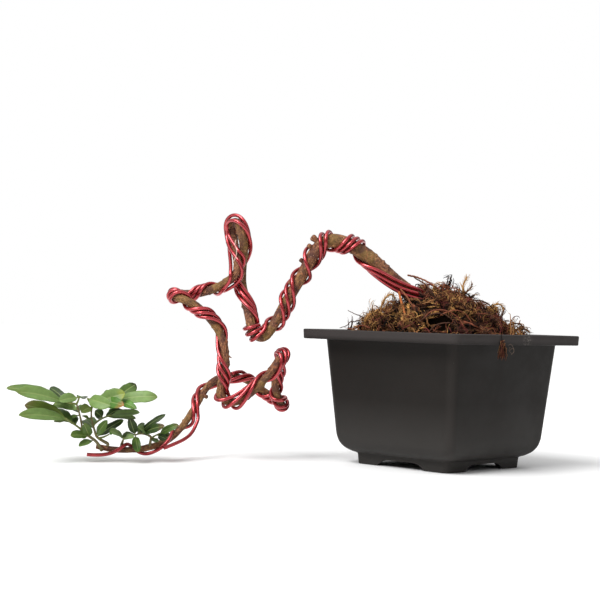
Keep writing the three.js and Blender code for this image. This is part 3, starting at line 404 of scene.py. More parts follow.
def obstacles():
    """What a strand goes round, the trunk and its stubs, as balls with their least distances."""
    points, radii = [route.point], [route.radius]
    for way_point, direction, length, radius in STUBS:
        point, trunk_radius = route.station(way_point)[:2]
        reach = np.arange(trunk_radius, length + 1e-9, BALL_STEP)
        points.append(point + unit(direction) * reach[:, None])
        radii.append(np.full(len(reach), radius * BALL_SHARE))
    return np.vstack(points), np.concatenate(radii) + WIRE_RADIUS + WIRE_SEAT - SEAT_SLACK


def settle(lines):
    """Pushes the strands clear of each other and of the trunk, and eases them."""
    balls, wanted = obstacles()
    for step in range(SETTLING_ROUNDS):
        for a, b in ((0, 1), (1, 2), (0, 2)):
            for p in lines[a]:
                for j in np.nonzero(np.abs(lines[b] - p).max(1) < WIRE_CLEAR)[0]:
                    push = p - lines[b][j]
                    distance = math.sqrt(push @ push)
                    if 0 < distance < WIRE_CLEAR:
                        push *= PUSH_SHARE * (WIRE_CLEAR - distance) / distance
                        p += push
                        lines[b][j] -= push
        easing = EASING if step < SETTLING_ROUNDS - UNEASED_ROUNDS else 0
        for line in lines:
            for i in range(1, len(line) - 1):
                line[i] += (line[i - 1] + line[i + 1] - 2 * line[i]) * easing
            gap = np.linalg.norm(line[:, None, :] - balls[None, :, :], axis=2) - wanted
            for i in np.nonzero(gap.min(1) < 0)[0]:
                for j in np.nonzero(gap[i] < NEAR_BALL)[0]:
                    out = line[i] - balls[j]
                    distance = math.sqrt(out @ out)
                    if distance < wanted[j]:
                        line[i] = balls[j] + out * (wanted[j] / distance)


def strand_lines():
    winding_angle = winding_curve()
    spread = [broken_line([(distance_at(e[0]), e[k]) for e in SPREAD]) for k in (1, 2)]
    lines = []
    for _, side, start, last, tail in STRANDS:
        line = wound_line(side, start, last, winding_angle, spread[1 if side < 0 else 0])
        if tail:
            line = np.vstack([line, catmull([line[-1], *tail], spacing=WIRE_STEP)[1:]])
        lines.append(line)
    settle(lines)
    return lines


# Meshes

# Rings that close the end of a tube: share of its radius, and share of its rounding
END_RINGS = ((0.75, 0.8), (0.02, 1.0))


def linked(name, data):
    """A new object in the scene."""
    piece = bpy.data.objects.new(name, data)
    bpy.context.scene.collection.objects.link(piece)
    return piece


def make_object(name, points, face_groups, material, uv=None, tints=None):
    """A smooth mesh object from points in mm in the pot's frame."""
    mesh = bpy.data.meshes.new(name)
    faces = [face for group in face_groups for face in group.tolist()]
    mesh.from_pydata((np.asarray(points, float) + POT_AXIS * 1000) / 1000, [], faces)
    mesh.polygons.foreach_set("use_smooth", np.ones(len(mesh.polygons), bool))
    if uv is not None:
        layer = mesh.uv_layers.new(name="along")
        loops = np.zeros(len(mesh.loops), np.int32)
        mesh.loops.foreach_get("vertex_index", loops)
        layer.data.foreach_set("uv", np.asarray(uv, np.float32)[loops].ravel())
    for label, values in (tints or {}).items():
        colours = np.concatenate([values, np.ones((len(values), 1))], axis=1)
        attribute = mesh.color_attributes.new(label, "FLOAT_COLOR", "POINT")
        attribute.data.foreach_set("color", colours.astype(np.float32).ravel())
    mesh.materials.append(material)
    mesh.update()
    return linked(name, mesh)


class Builder:
    """Collects closed bodies into one mesh, with a UV and tints for each point."""

    def __init__(self):
        self.points, self.faces, self.uv, self.tints, self.count = [], [], [], {}, 0

    def add(self, points, face_groups, uv=None, **tints):
        self.points.append(points)
        self.faces += [group + self.count for group in face_groups]
        self.uv.append(np.zeros((len(points), 2)) if uv is None else uv)
        for label, value in tints.items():
            self.tints.setdefault(label, []).append(np.broadcast_to(value, (len(points), 3)))
        self.count += len(points)

    def finish(self, name, material):
        tints = {label: np.vstack(values) for label, values in self.tints.items()}
        return make_object(name, np.vstack(self.points), self.faces, material, np.vstack(self.uv), tints)


def ring_faces(rings, sides):
    """Quads between closed rings of `sides` points, as an array."""
    i, j = np.meshgrid(np.arange(rings - 1), np.arange(sides), indexing="ij")
    a, b = i * sides + j, i * sides + (j + 1) % sides
    return np.stack([a, b, b + sides, a + sides], axis=-1).reshape(-1, 4)


def capped_faces(rings, sides):
    """Quads between closed rings, and the two end faces, as groups of faces."""
    ring = np.arange(sides)
    return [ring_faces(rings, sides), np.stack([ring[::-1], (rings - 1) * sides + ring])]


def tube(points, radius, sides, start=None, relief=None, round_end=0.35):
    """Skin of a closed tube along points, with its UV."""
    points = np.asarray(points, float)
    radius = np.broadcast_to(radius, (len(points),)).astype(float)
    tangent, normal = carry_frames(points, start)
    side = np.cross(normal, tangent)
    angle = np.arange(sides) * 2 * math.pi / sides
    out = normal[:, None, :] * np.cos(angle)[None, :, None] - side[:, None, :] * np.sin(angle)[None, :, None]
    length = distances(points)
    reach = np.repeat(radius[:, None], sides, axis=1)
    if relief is not None:
        reach = reach + relief(length, angle)
    skin = points[:, None, :] + out * reach[:, :, None]
    ends = []
    for end, way in ((0, -1), (-1, 1)):
        rounding = round_end * radius[end]
        for share, lift in END_RINGS:
            ring = points[end] + out[end] * (reach[end] * share)[:, None]
            ends.append(ring + tangent[end] * way * rounding * lift)
    skin = np.concatenate([[ends[1]], [ends[0]], skin, [ends[2]], [ends[3]]])
    length = np.concatenate([[0, 0], length, [length[-1]] * 2])
    uv = np.stack(np.meshgrid(length, angle / (2 * math.pi), indexing="ij"), axis=-1)
    return skin.reshape(-1, 3), uv.reshape(-1, 2)


def add_tube(builder, points, radius, sides, tint=None, **options):
    skin, uv = tube(points, radius, sides, **options)
    tints = {} if tint is None else {"tint": tint}
    builder.add(skin, capped_faces(len(skin) // sides, sides), uv, **tints)


# Materials

def in_metres(x, y, z):
    return Vector((x / 1000 + POT_AXIS[0], y / 1000 + POT_AXIS[1], z / 1000))


def add_node(tree, kind, inputs=None, **settings):
    """A new node. Each of its inputs is a value or another node's output."""
    node = tree.nodes.new("ShaderNode" + kind)
    for label, value in settings.items():
        setattr(node, label, value)
    for socket, value in (inputs or {}).items():
        if isinstance(value, bpy.types.NodeSocket):
            tree.links.new(value, node.inputs[socket])
        else:
            node.inputs[socket].default_value = value
    return node


def add_ramp(tree, factor, stops):
    """Colours, or grey levels given as numbers, between places of a factor."""
    node = add_node(tree, "ValToRGB", {"Fac": factor})
    elements = node.color_ramp.elements
    while len(elements) < len(stops):
        elements.new(0.5)
    for element, (place, value) in zip(elements, stops):
        element.position = place
        element.color = (*value, 1) if isinstance(value, tuple) else (value, value, value, 1)
    return node.outputs["Color"]


class Surface:
    """A Principled material with helpers for its nodes. Places are in metres, as objects have them."""

    def __init__(self, name, color=(0.5, 0.5, 0.5), roughness=0.5, metallic=0.0, **sockets):
        self.material = bpy.data.materials.new(name)
        self.material.use_nodes = True
        self.tree = self.material.node_tree
        self.shader = self.tree.nodes["Principled BSDF"]
        sockets |= {"Base Color": (*color, 1), "Roughness": roughness, "Metallic": metallic}
        for label, value in sockets.items():
            self.shader.inputs[label.replace("_", " ")].default_value = value
        coordinates = self.node("TexCoord").outputs
        self.place, self.uv = coordinates["Object"], coordinates["UV"]

    def node(self, kind, inputs=None, **settings):
        return add_node(self.tree, kind, inputs, **settings)

    def link(self, output, socket):
        self.tree.links.new(output, self.shader.inputs[socket])

    def stretched(self, along, round_it):
        """UV with its two directions scaled."""
        return self.node("Mapping", {"Vector": self.uv, "Scale": (along, round_it, 1)}).outputs["Vector"]

    def noise(self, scale, detail=4.0, roughness=0.55, vector=None):
        inputs = {"Vector": vector or self.place, "Scale": scale, "Detail": detail, "Roughness": roughness}
        return self.node("TexNoise", inputs).outputs["Fac"]

    def cells(self, scale, vector=None):
        return self.node("TexVoronoi", {"Vector": vector or self.place, "Scale": scale}).outputs["Distance"]

    def ramp(self, factor, stops):
        return add_ramp(self.tree, factor, stops)

    def mix(self, factor, a, b, blend="MIX"):
        a, b = ((*value, 1) if isinstance(value, tuple) else value for value in (a, b))
        return self.node("Mix", {0: factor, 6: a, 7: b}, data_type="RGBA", blend_type=blend).outputs[2]

    def math(self, operation, a, b=0.0):
        return self.node("Math", {0: a, 1: b}, operation=operation).outputs[0]

    def split(self, vector):
        return self.node("SeparateXYZ", {0: vector}).outputs

    def upward(self):
        """Height above the ground."""
        return self.split(self.place)[2]

    def toward_corner(self):
        """1 at the pot's upright edges and 0 along the middle of its sides."""
        inputs = {"Vector": self.place, "Location": in_metres(0, 0, 0), "Rotation": (0, 0, POT_TURN)}
        x, y, _ = self.split(self.node("Mapping", inputs, vector_type="TEXTURE").outputs[0])
        u, v = self.math("ABSOLUTE", x), self.math("ABSOLUTE", y)
        return self.math("DIVIDE", self.math("MINIMUM", u, v), self.math("MAXIMUM", u, v))

    def distance_to(self, place):
        """Distance from a place given in mm in the pot's frame."""
        inputs = {0: self.place, 1: in_metres(*place)}
        return self.node("VectorMath", inputs, operation="DISTANCE").outputs["Value"]

    def tint(self, label="tint"):
        return self.node("Attribute", attribute_name=label).outputs["Color"]

    def bump(self, height, strength, distance):
        node = self.node("Bump", {"Height": height, "Strength": strength, "Distance": distance})
        self.link(node.outputs["Normal"], "Normal")


def srgb(red, green, blue):
    """Linear colour of an 8-bit one."""
    def linear(value):
        c = value / 255
        return c / 12.92 if c <= 0.04045 else ((c + 0.055) / 1.055) ** 2.4
    return (linear(red), linear(green), linear(blue))


def pot_material():
    """Dusty dark plastic. It is lighter low on the walls, along its upright edges and on the lip: painted
    light from the floor below, a painted highlight on the edges and painted light on the lip.
    """
    s = Surface("pot plastic", srgb(28, 25, 23), 0.5, Specular_IOR_Level=0.1)
    dust = s.noise(30, 6, 0.7)
    lip = (POT_HEIGHT - LIP_HEIGHT) / 1000
    color = s.ramp(s.noise(9, 3), [(0.3, srgb(25, 23, 21)), (0.7, srgb(32, 29, 27))])
    color = s.mix(s.ramp(dust, [(0.55, 0.0), (0.8, 0.3)]), color, srgb(44, 40, 37))
    # Painted light: the walls are lighter near the bottom, as if lit from the floor
    color = s.mix(s.ramp(s.upward(), [(0.02, 0.8), (0.055, 0.0)]), color, srgb(54, 52, 50))
    # Painted highlight: lighter along the pot's upright edges
    color = s.mix(s.ramp(s.toward_corner(), [(0.88, 0.0), (0.97, 0.35)]), color, srgb(54, 50, 48))
    # Painted light: the lip is lighter than the walls, as if lit while the walls lie in its shade
    color = s.mix(s.ramp(s.upward(), [(lip - 0.0005, 0.0), (lip + 0.0005, 1.0)]), color, srgb(54, 50, 49))
    specks = s.ramp(s.cells(130), [(0.0, 1.0), (0.03, 0.0)])
    rare = s.ramp(s.noise(60, 2), [(0.62, 0.0), (0.66, 1.0)])
    color = s.mix(s.math("MULTIPLY", specks, rare), color, srgb(150, 146, 138))
    near_scuff = s.ramp(s.distance_to(SCUFF_MIDDLE), [(0.0, 1.0), (0.0075, 0.0)])
    scratches = s.ramp(s.noise(700, 5, 0.75), [(0.5, 0.0), (0.62, 0.8)])
    color = s.mix(s.math("MULTIPLY", near_scuff, scratches), color, srgb(132, 124, 118))
    s.link(color, "Base Color")
    s.link(s.ramp(dust, [(0.35, 0.42), (0.7, 0.6)]), "Roughness")
    s.bump(s.noise(900, 2), 0.12, 0.0003)
    return s.material


def bark_material():
    s = Surface("bark", srgb(122, 84, 56), 0.7, Specular_IOR_Level=0.35)
    streaks = s.noise(1.0, 6, 0.65, s.stretched(0.3, 13.0))
    grain = s.noise(420, 5, 0.7)
    dark, brown, tan, pale = srgb(46, 27, 22), srgb(112, 68, 46), srgb(164, 114, 76), srgb(198, 152, 114)
    color = s.ramp(streaks, [(0.36, dark), (0.48, brown), (0.6, tan), (0.72, pale)])
    olive = s.ramp(s.noise(60, 3), [(0.45, 0.0), (0.6, 0.7)])
    color = s.mix(olive, color, srgb(126, 98, 50))
    blotches = s.ramp(s.noise(110, 4), [(0.48, 0.0), (0.6, 0.75)])
    color = s.mix(blotches, color, srgb(80, 47, 40))
    warm = s.ramp(s.noise(230, 3, 0.6), [(0.6, 0.0), (0.7, 0.6)])
    color = s.mix(warm, color, srgb(168, 102, 66))
    pores = s.ramp(s.cells(1.0, s.stretched(0.55, 7.0)), [(0.05, 1.0), (0.16, 0.0)])
    color = s.mix(s.math("MULTIPLY", pores, 0.8), color, srgb(208, 166, 136))
    color = s.mix(s.ramp(grain, [(0.32, 0.65), (0.46, 0.0)]), color, srgb(44, 27, 22))
    s.link(color, "Base Color")
    s.bump(s.mix(0.5, streaks, grain), 1.0, 0.0018)
    return s.material


def wire_material():
    s = Surface("red wire", srgb(176, 28, 42), 0.26, 0.8, Coat_Weight=0.8, Coat_Roughness=0.16)
    s.link(s.ramp(s.noise(60, 4), [(0.3, srgb(148, 34, 40)), (0.7, srgb(188, 56, 62))]), "Base Color")
    scratches = s.noise(1.0, 5, 0.7, s.stretched(0.05, 30.0))
    s.link(s.ramp(scratches, [(0.35, 0.2), (0.7, 0.36)]), "Roughness")
    s.bump(scratches, 0.08, 0.0001)
    return s.material


def tinted_material(name, roughness, shade, bump, **sockets):
    """The mesh's own tints under a mottle, given by its scale and grey levels, with a fine bump."""
    s = Surface(name, roughness=roughness, **sockets)
    size, low, high = shade
    mottle = s.ramp(s.noise(size, 4), [(0.3, low), (0.7, high)])
    s.link(s.mix(1.0, s.tint(), mottle, "MULTIPLY"), "Base Color")
    s.bump(s.noise(*bump), 0.3, 0.0002)
    return s.material


def rough_material(name, color_of, bump_size, **sockets):
    """A rough ground whose colour is worked out by a function of its surface."""
    s = Surface(name, roughness=0.95, **sockets)
    s.link(color_of(s), "Base Color")
    s.bump(s.noise(bump_size, 5, 0.7), 1.0, 0.002)
    return s.material


# Near-black browns: partly the moss's own colour and partly painted shade, seen through the gaps and hollows
def core_color_and_shade(s):
    stops = [(0.3, srgb(9, 7, 5)), (0.6, srgb(24, 16, 11)), (0.8, srgb(44, 29, 19))]
    return s.ramp(s.noise(160, 6, 0.7), stops)


def soil_color(s):
    return s.ramp(s.cells(260), [(0.1, srgb(88, 66, 44)), (0.5, srgb(48, 34, 22)), (0.8, srgb(26, 18, 12))])


def leaf_material():
    """The blades' tints with ragged coloured tips, a pale midrib and slanted side veins."""
    s = Surface("leaf", roughness=0.45, Specular_IOR_Level=0.3)
    place, side, _ = s.split(s.uv)
    mottle = s.ramp(s.noise(260, 5, 0.6), [(0.3, 0.82), (0.7, 1.14)])
    color = s.mix(1.0, s.tint(), mottle, "MULTIPLY")
    ragged = s.math("ADD", place, s.math("MULTIPLY", s.noise(190, 4), 0.35))
    at_tip = s.ramp(s.math("MULTIPLY", ragged, 0.75), [(0.69, 0.0), (0.9, 1.0)])
    color = s.mix(at_tip, color, s.tint("tip"))
    distance = s.math("ABSOLUTE", s.math("SUBTRACT", side, 0.5))
    slanted = s.math("ADD", s.math("MULTIPLY", place, 14.0), s.math("MULTIPLY", distance, -7.0))
    wave = s.math("ABSOLUTE", s.math("SINE", s.math("MULTIPLY", slanted, math.pi)))
    side_veins = s.ramp(wave, [(0.0, 0.22), (0.13, 0.0)])
    veins = s.math("MAXIMUM", side_veins, s.ramp(distance, [(0.018, 0.6), (0.05, 0.0)]))
    s.link(s.mix(veins, color, srgb(136, 150, 90)), "Base Color")
    s.bump(s.math("SUBTRACT", s.noise(300, 4), veins), 0.25, 0.0004)
    return s.material


def plain_material(name, dark, light, roughness):
    s = Surface(name, roughness=roughness)
    s.link(s.ramp(s.noise(60, 4), [(0.3, dark), (0.7, light)]), "Base Color")
    return s.material


# Pot

def square_ring(half, corner, z):
    """Square outline with rounded corners, counterclockwise, turned with the pot."""
    points = []
    for quarter in range(4):
        turn = quarter * math.pi / 2 + POT_TURN
        centre = (half - corner) * math.sqrt(2)
        cx, cy = centre * math.cos(turn + math.pi / 4), centre * math.sin(turn + math.pi / 4)
        for k in range(CORNER_STEPS + 1):
            a = turn + k * math.pi / 2 / CORNER_STEPS
            points.append((cx + corner * math.cos(a), cy + corner * math.sin(a), z))
    return points


def curve_past(a, corner, b, steps):
    """Points of a curve from a to b that bends towards a corner between them."""
    return [a * (1 - t) ** 2 + corner * 2 * t * (1 - t) + b * t * t for t in np.arange(steps + 1) / steps]


def body_half(z):
    slope = (BODY_TOP_HALF - BODY_LOW_HALF) / (POT_HEIGHT - WALL - BODY_LOW_Z)
    return BODY_LOW_HALF + (z - BODY_LOW_Z) * slope


def hollow_half(z):
    """Half width of the pot's hollow at a height."""
    low, top = (BODY_LOW_Z, BODY_LOW_HALF - WALL), (POT_HEIGHT, body_half(POT_HEIGHT) - WALL)
    return float(broken_line([(FLOOR_Z, BASE_HALF - 3), *HOLLOW_BENDS, low, top])(z))


def rounded(profile):
    """Profile of (half, corner, z) cut round where its entries (half, corner, z, fillet) ask for it."""
    rows = []
    for i, (half, corner, z, fillet) in enumerate(profile):
        if fillet == 0 or i in (0, len(profile) - 1):
            rows.append((half, corner, z))
            continue
        here = np.array([half, z])
        before = np.array([profile[i - 1][0], profile[i - 1][2]]) - here
        after = np.array([profile[i + 1][0], profile[i + 1][2]]) - here
        cut_before = min(fillet, np.linalg.norm(before) * 0.45)
        cut_after = min(fillet, np.linalg.norm(after) * 0.45)
        a, b = here + unit(before) * cut_before, here + unit(after) * cut_after
        rows += [(half_here, corner, height) for half_here, height in curve_past(a, here, b, FILLET_STEPS)]
    return rows


def make_pot(material):
    under = POT_HEIGHT - WALL
    lip = POT_HEIGHT - LIP_HEIGHT
    hollow = [BODY_LOW_Z, *[z for z, _ in reversed(HOLLOW_BENDS)]]
    profile = rounded([
        (FOOT_HALF - WALL, FOOT_CORNER - 2, FLOOR_Z - WALL, 0),
        (FOOT_HALF - WALL - 0.6, FOOT_CORNER - 2, 0, 0.5),
        (FOOT_HALF - 0.7, FOOT_CORNER, 0, 0.6),
        (FOOT_HALF, FOOT_CORNER, BASE_Z - 1, 1.0),
        (BASE_HALF, BODY_CORNER, BASE_Z, 1.5),
        *[(half, BODY_CORNER, z, 2.5) for z, half in [*BODY_BENDS, (BODY_LOW_Z, BODY_LOW_HALF)]],
        (body_half(under), BODY_CORNER, under, 1.2),
        (RIM_HALF - WALL, RIM_CORNER - 2, under, 1.0),
        (RIM_HALF - WALL + 0.3, RIM_CORNER - 2, lip, 0.4),
        (RIM_HALF - 0.3, RIM_CORNER, lip, 0.7),
        (RIM_HALF, RIM_CORNER, POT_HEIGHT, 1.1),
        (hollow_half(POT_HEIGHT), BODY_CORNER - 1, POT_HEIGHT, 0.9),
        *[(hollow_half(z), BODY_CORNER - 2, z, 2) for z in hollow],
        (hollow_half(FLOOR_Z), BODY_CORNER - 2, FLOOR_Z, 0),
    ])
    rings = [square_ring(*row) for row in profile]
    pot = make_object("pot_shell", np.vstack(rings), capped_faces(len(rings), len(rings[0])), material)
    cutters = [arch_cutter(0, material), arch_cutter(math.pi / 2, material)]
    for x, y in ((0, 0), (1, 1), (-1, 1), (-1, -1), (1, -1)):
        cutters.append(drain_cutter(x * DRAIN_SPREAD, y * DRAIN_SPREAD, material))
    for cutter in cutters:
        cut = pot.modifiers.new("cut", "BOOLEAN")
        cut.object, cut.operation, cut.solver = cutter, "DIFFERENCE", "EXACT"
    apply_modifiers(pot)
    for cutter in cutters:
        bpy.data.objects.remove(cutter)
    smooth_by_angle(pot)
    return pot


def apply_modifiers(piece):
    """Replaces a piece's mesh by what its modifiers make of it."""
    graph = bpy.context.evaluated_depsgraph_get()
    mesh = bpy.data.meshes.new_from_object(piece.evaluated_get(graph))
    piece.modifiers.clear()
    piece.data = mesh


def smooth_by_angle(piece):
    """Smooth faces, with sharp edges where they meet at more than SHARP_EDGE."""
    mesh = piece.data
    mesh.polygons.foreach_set("use_smooth", np.ones(len(mesh.polygons), bool))
    work = bmesh.new()
    work.from_mesh(mesh)
    for edge in work.edges:
        edge.smooth = not (edge.is_manifold and edge.calc_face_angle(0) > SHARP_EDGE)
    work.to_mesh(mesh)
    work.free()


def arch_cutter(turn, material):
    """Opening with sloping ends through the foot on two opposite sides."""
    wide = ARCH_WIDTH / 2
    foot, bend = np.array([-wide, -1]), np.array([ARCH_BEND - wide, ARCH_HEIGHT])
    top = np.array([ARCH_SLOPE - wide, ARCH_HEIGHT])
    outline = [tuple(p) for p in curve_past(foot, bend, top, ARCH_STEPS)]
    outline += [(-x, z) for x, z in reversed(outline)]
    points, n = [], len(outline)
    for y in (-BASE_HALF, BASE_HALF):
        points += [(*turned(x, y, POT_TURN + turn), z) for x, z in outline]
    walls = np.array([[k, k + n, (k + 1) % n + n, (k + 1) % n] for k in range(n)])
    ends = np.array([range(n), range(2 * n - 1, n - 1, -1)])
    return fixed_normals(make_object("cutter", points, [walls, ends], material))


def drain_cutter(x, y, material):
    centre = np.array([*turned(x, y, POT_TURN), 0])
    rings = []
    for z in (FLOOR_Z - WALL / 2 - 4, FLOOR_Z - WALL / 2 + 4):
        rings += [centre + (DRAIN_RADIUS * math.cos(a), DRAIN_RADIUS * math.sin(a), z)
                  for a in np.arange(DRAIN_SIDES) * 2 * math.pi / DRAIN_SIDES]
    return fixed_normals(make_object("cutter", rings, capped_faces(2, DRAIN_SIDES), material))


def fixed_normals(piece):
    work = bmesh.new()
    work.from_mesh(piece.data)
    bmesh.ops.recalc_face_normals(work, faces=work.faces)
    work.to_mesh(piece.data)
    work.free()
    return piece


# Trunk and wires

BARK_SIDES = 40
# A small knob at the top loop, as a stub, and the places of the pale strip of bark that hangs there
KNOB = (35.4, (-0.92, -0.2, -0.1), 6.4, 1.3)
STRIP = [
    (-171.6, -15.0, 181), (-172.1, -15.9, 176.8), (-170.8, -15.9, 173.4), (-171, -15.8, 167.5),
    (-172.9, -15.3, 163.4),
]


def bark_relief(length, angle):
    """How far the bark stands off its mean radius: ridges along it, pores across it, and shallow lumps."""
    s, a = np.meshgrid(length, angle, indexing="ij")
    ring = np.stack([np.cos(a) * 3.2, np.sin(a) * 3.2], axis=-1)
    flat = np.stack([ring[..., 0].ravel(), ring[..., 1].ravel(), s.ravel()], axis=-1)
    ridges = noise(flat * (1, 1, 0.09), 0.9, 3) * 0.24
    lumps = noise(flat * (1, 1, 0.35), 3.0, 5) * 0.22
    pores = np.clip(noise(flat * (0.7, 0.7, 2.2), 1.3, 9) - 0.42, 0, 1) * 0.5
    cracks = np.clip(-noise(flat * (1.6, 1.6, 0.3), 1.1, 12) - 0.35, 0, 1) * -0.5
    knots = np.clip(noise(flat * (1, 1, 0.8), 2.1, 21) - 0.34, 0, 1) * 1.5
    return (ridges + lumps + pores + cracks + knots - 0.08).reshape(s.shape)


def make_strip(material):
    builder = Builder()
    line = catmull(STRIP, spacing=0.6)
    add_tube(builder, line, np.linspace(0.32, 0.45, len(line)), 8)
    return builder.finish("bark_strip", material)


def add_stub(builder, way_point, direction, length, radius):
    """A cut stub swells a little at its end; a bud, which is thinner than 1 mm, tapers."""
    root = route.station(way_point)[0]
    out = unit(direction)
    bent = root + out * length + np.array([0, 0, 0.5])
    line = catmull([root, root + out * length * 0.6, bent], spacing=0.5)
    share = np.linspace(0, 1, len(line))
    if radius < 1:
        thickness = radius * (1.25 - 0.95 * share**2)
    else:
        thickness = radius * (1.4 - 0.5 * share + 0.35 * np.exp(-(((share - 0.93) / 0.16) ** 2)))
    add_tube(builder, line, thickness, 16, round_end=0.4)


def make_trunk(material):
    builder = Builder()
    point, radius = route.along(np.arange(0, route.length, 0.9))[:2]
    options = {"start": route.normal[0], "relief": bark_relief, "round_end": 0.3}
    add_tube(builder, point, radius * 0.98, BARK_SIDES, **options)
    for entry in STUBS + [KNOB]:
        add_stub(builder, *entry)
    return builder.finish("trunk_bark", material)


def make_wire(name, line, material):
    builder = Builder()
    add_tube(builder, catmull(line, spacing=1.1), WIRE_RADIUS, WIRE_SIDES, round_end=0.15)
    return builder.finish(name, material)


# Leaves

MID = srgb(73, 99, 37)
PALE = srgb(103, 129, 68)
DARK = srgb(43, 62, 23)
BRIGHT = srgb(69, 113, 26)
GREYED = srgb(93, 118, 60)
STRIPED = srgb(107, 129, 78)
OLIVE = srgb(88, 105, 40)
BROWN = srgb(88, 62, 36)
YELLOW = srgb(140, 146, 44)
ORANGE = srgb(158, 92, 42)
BLACK = srgb(34, 29, 20)

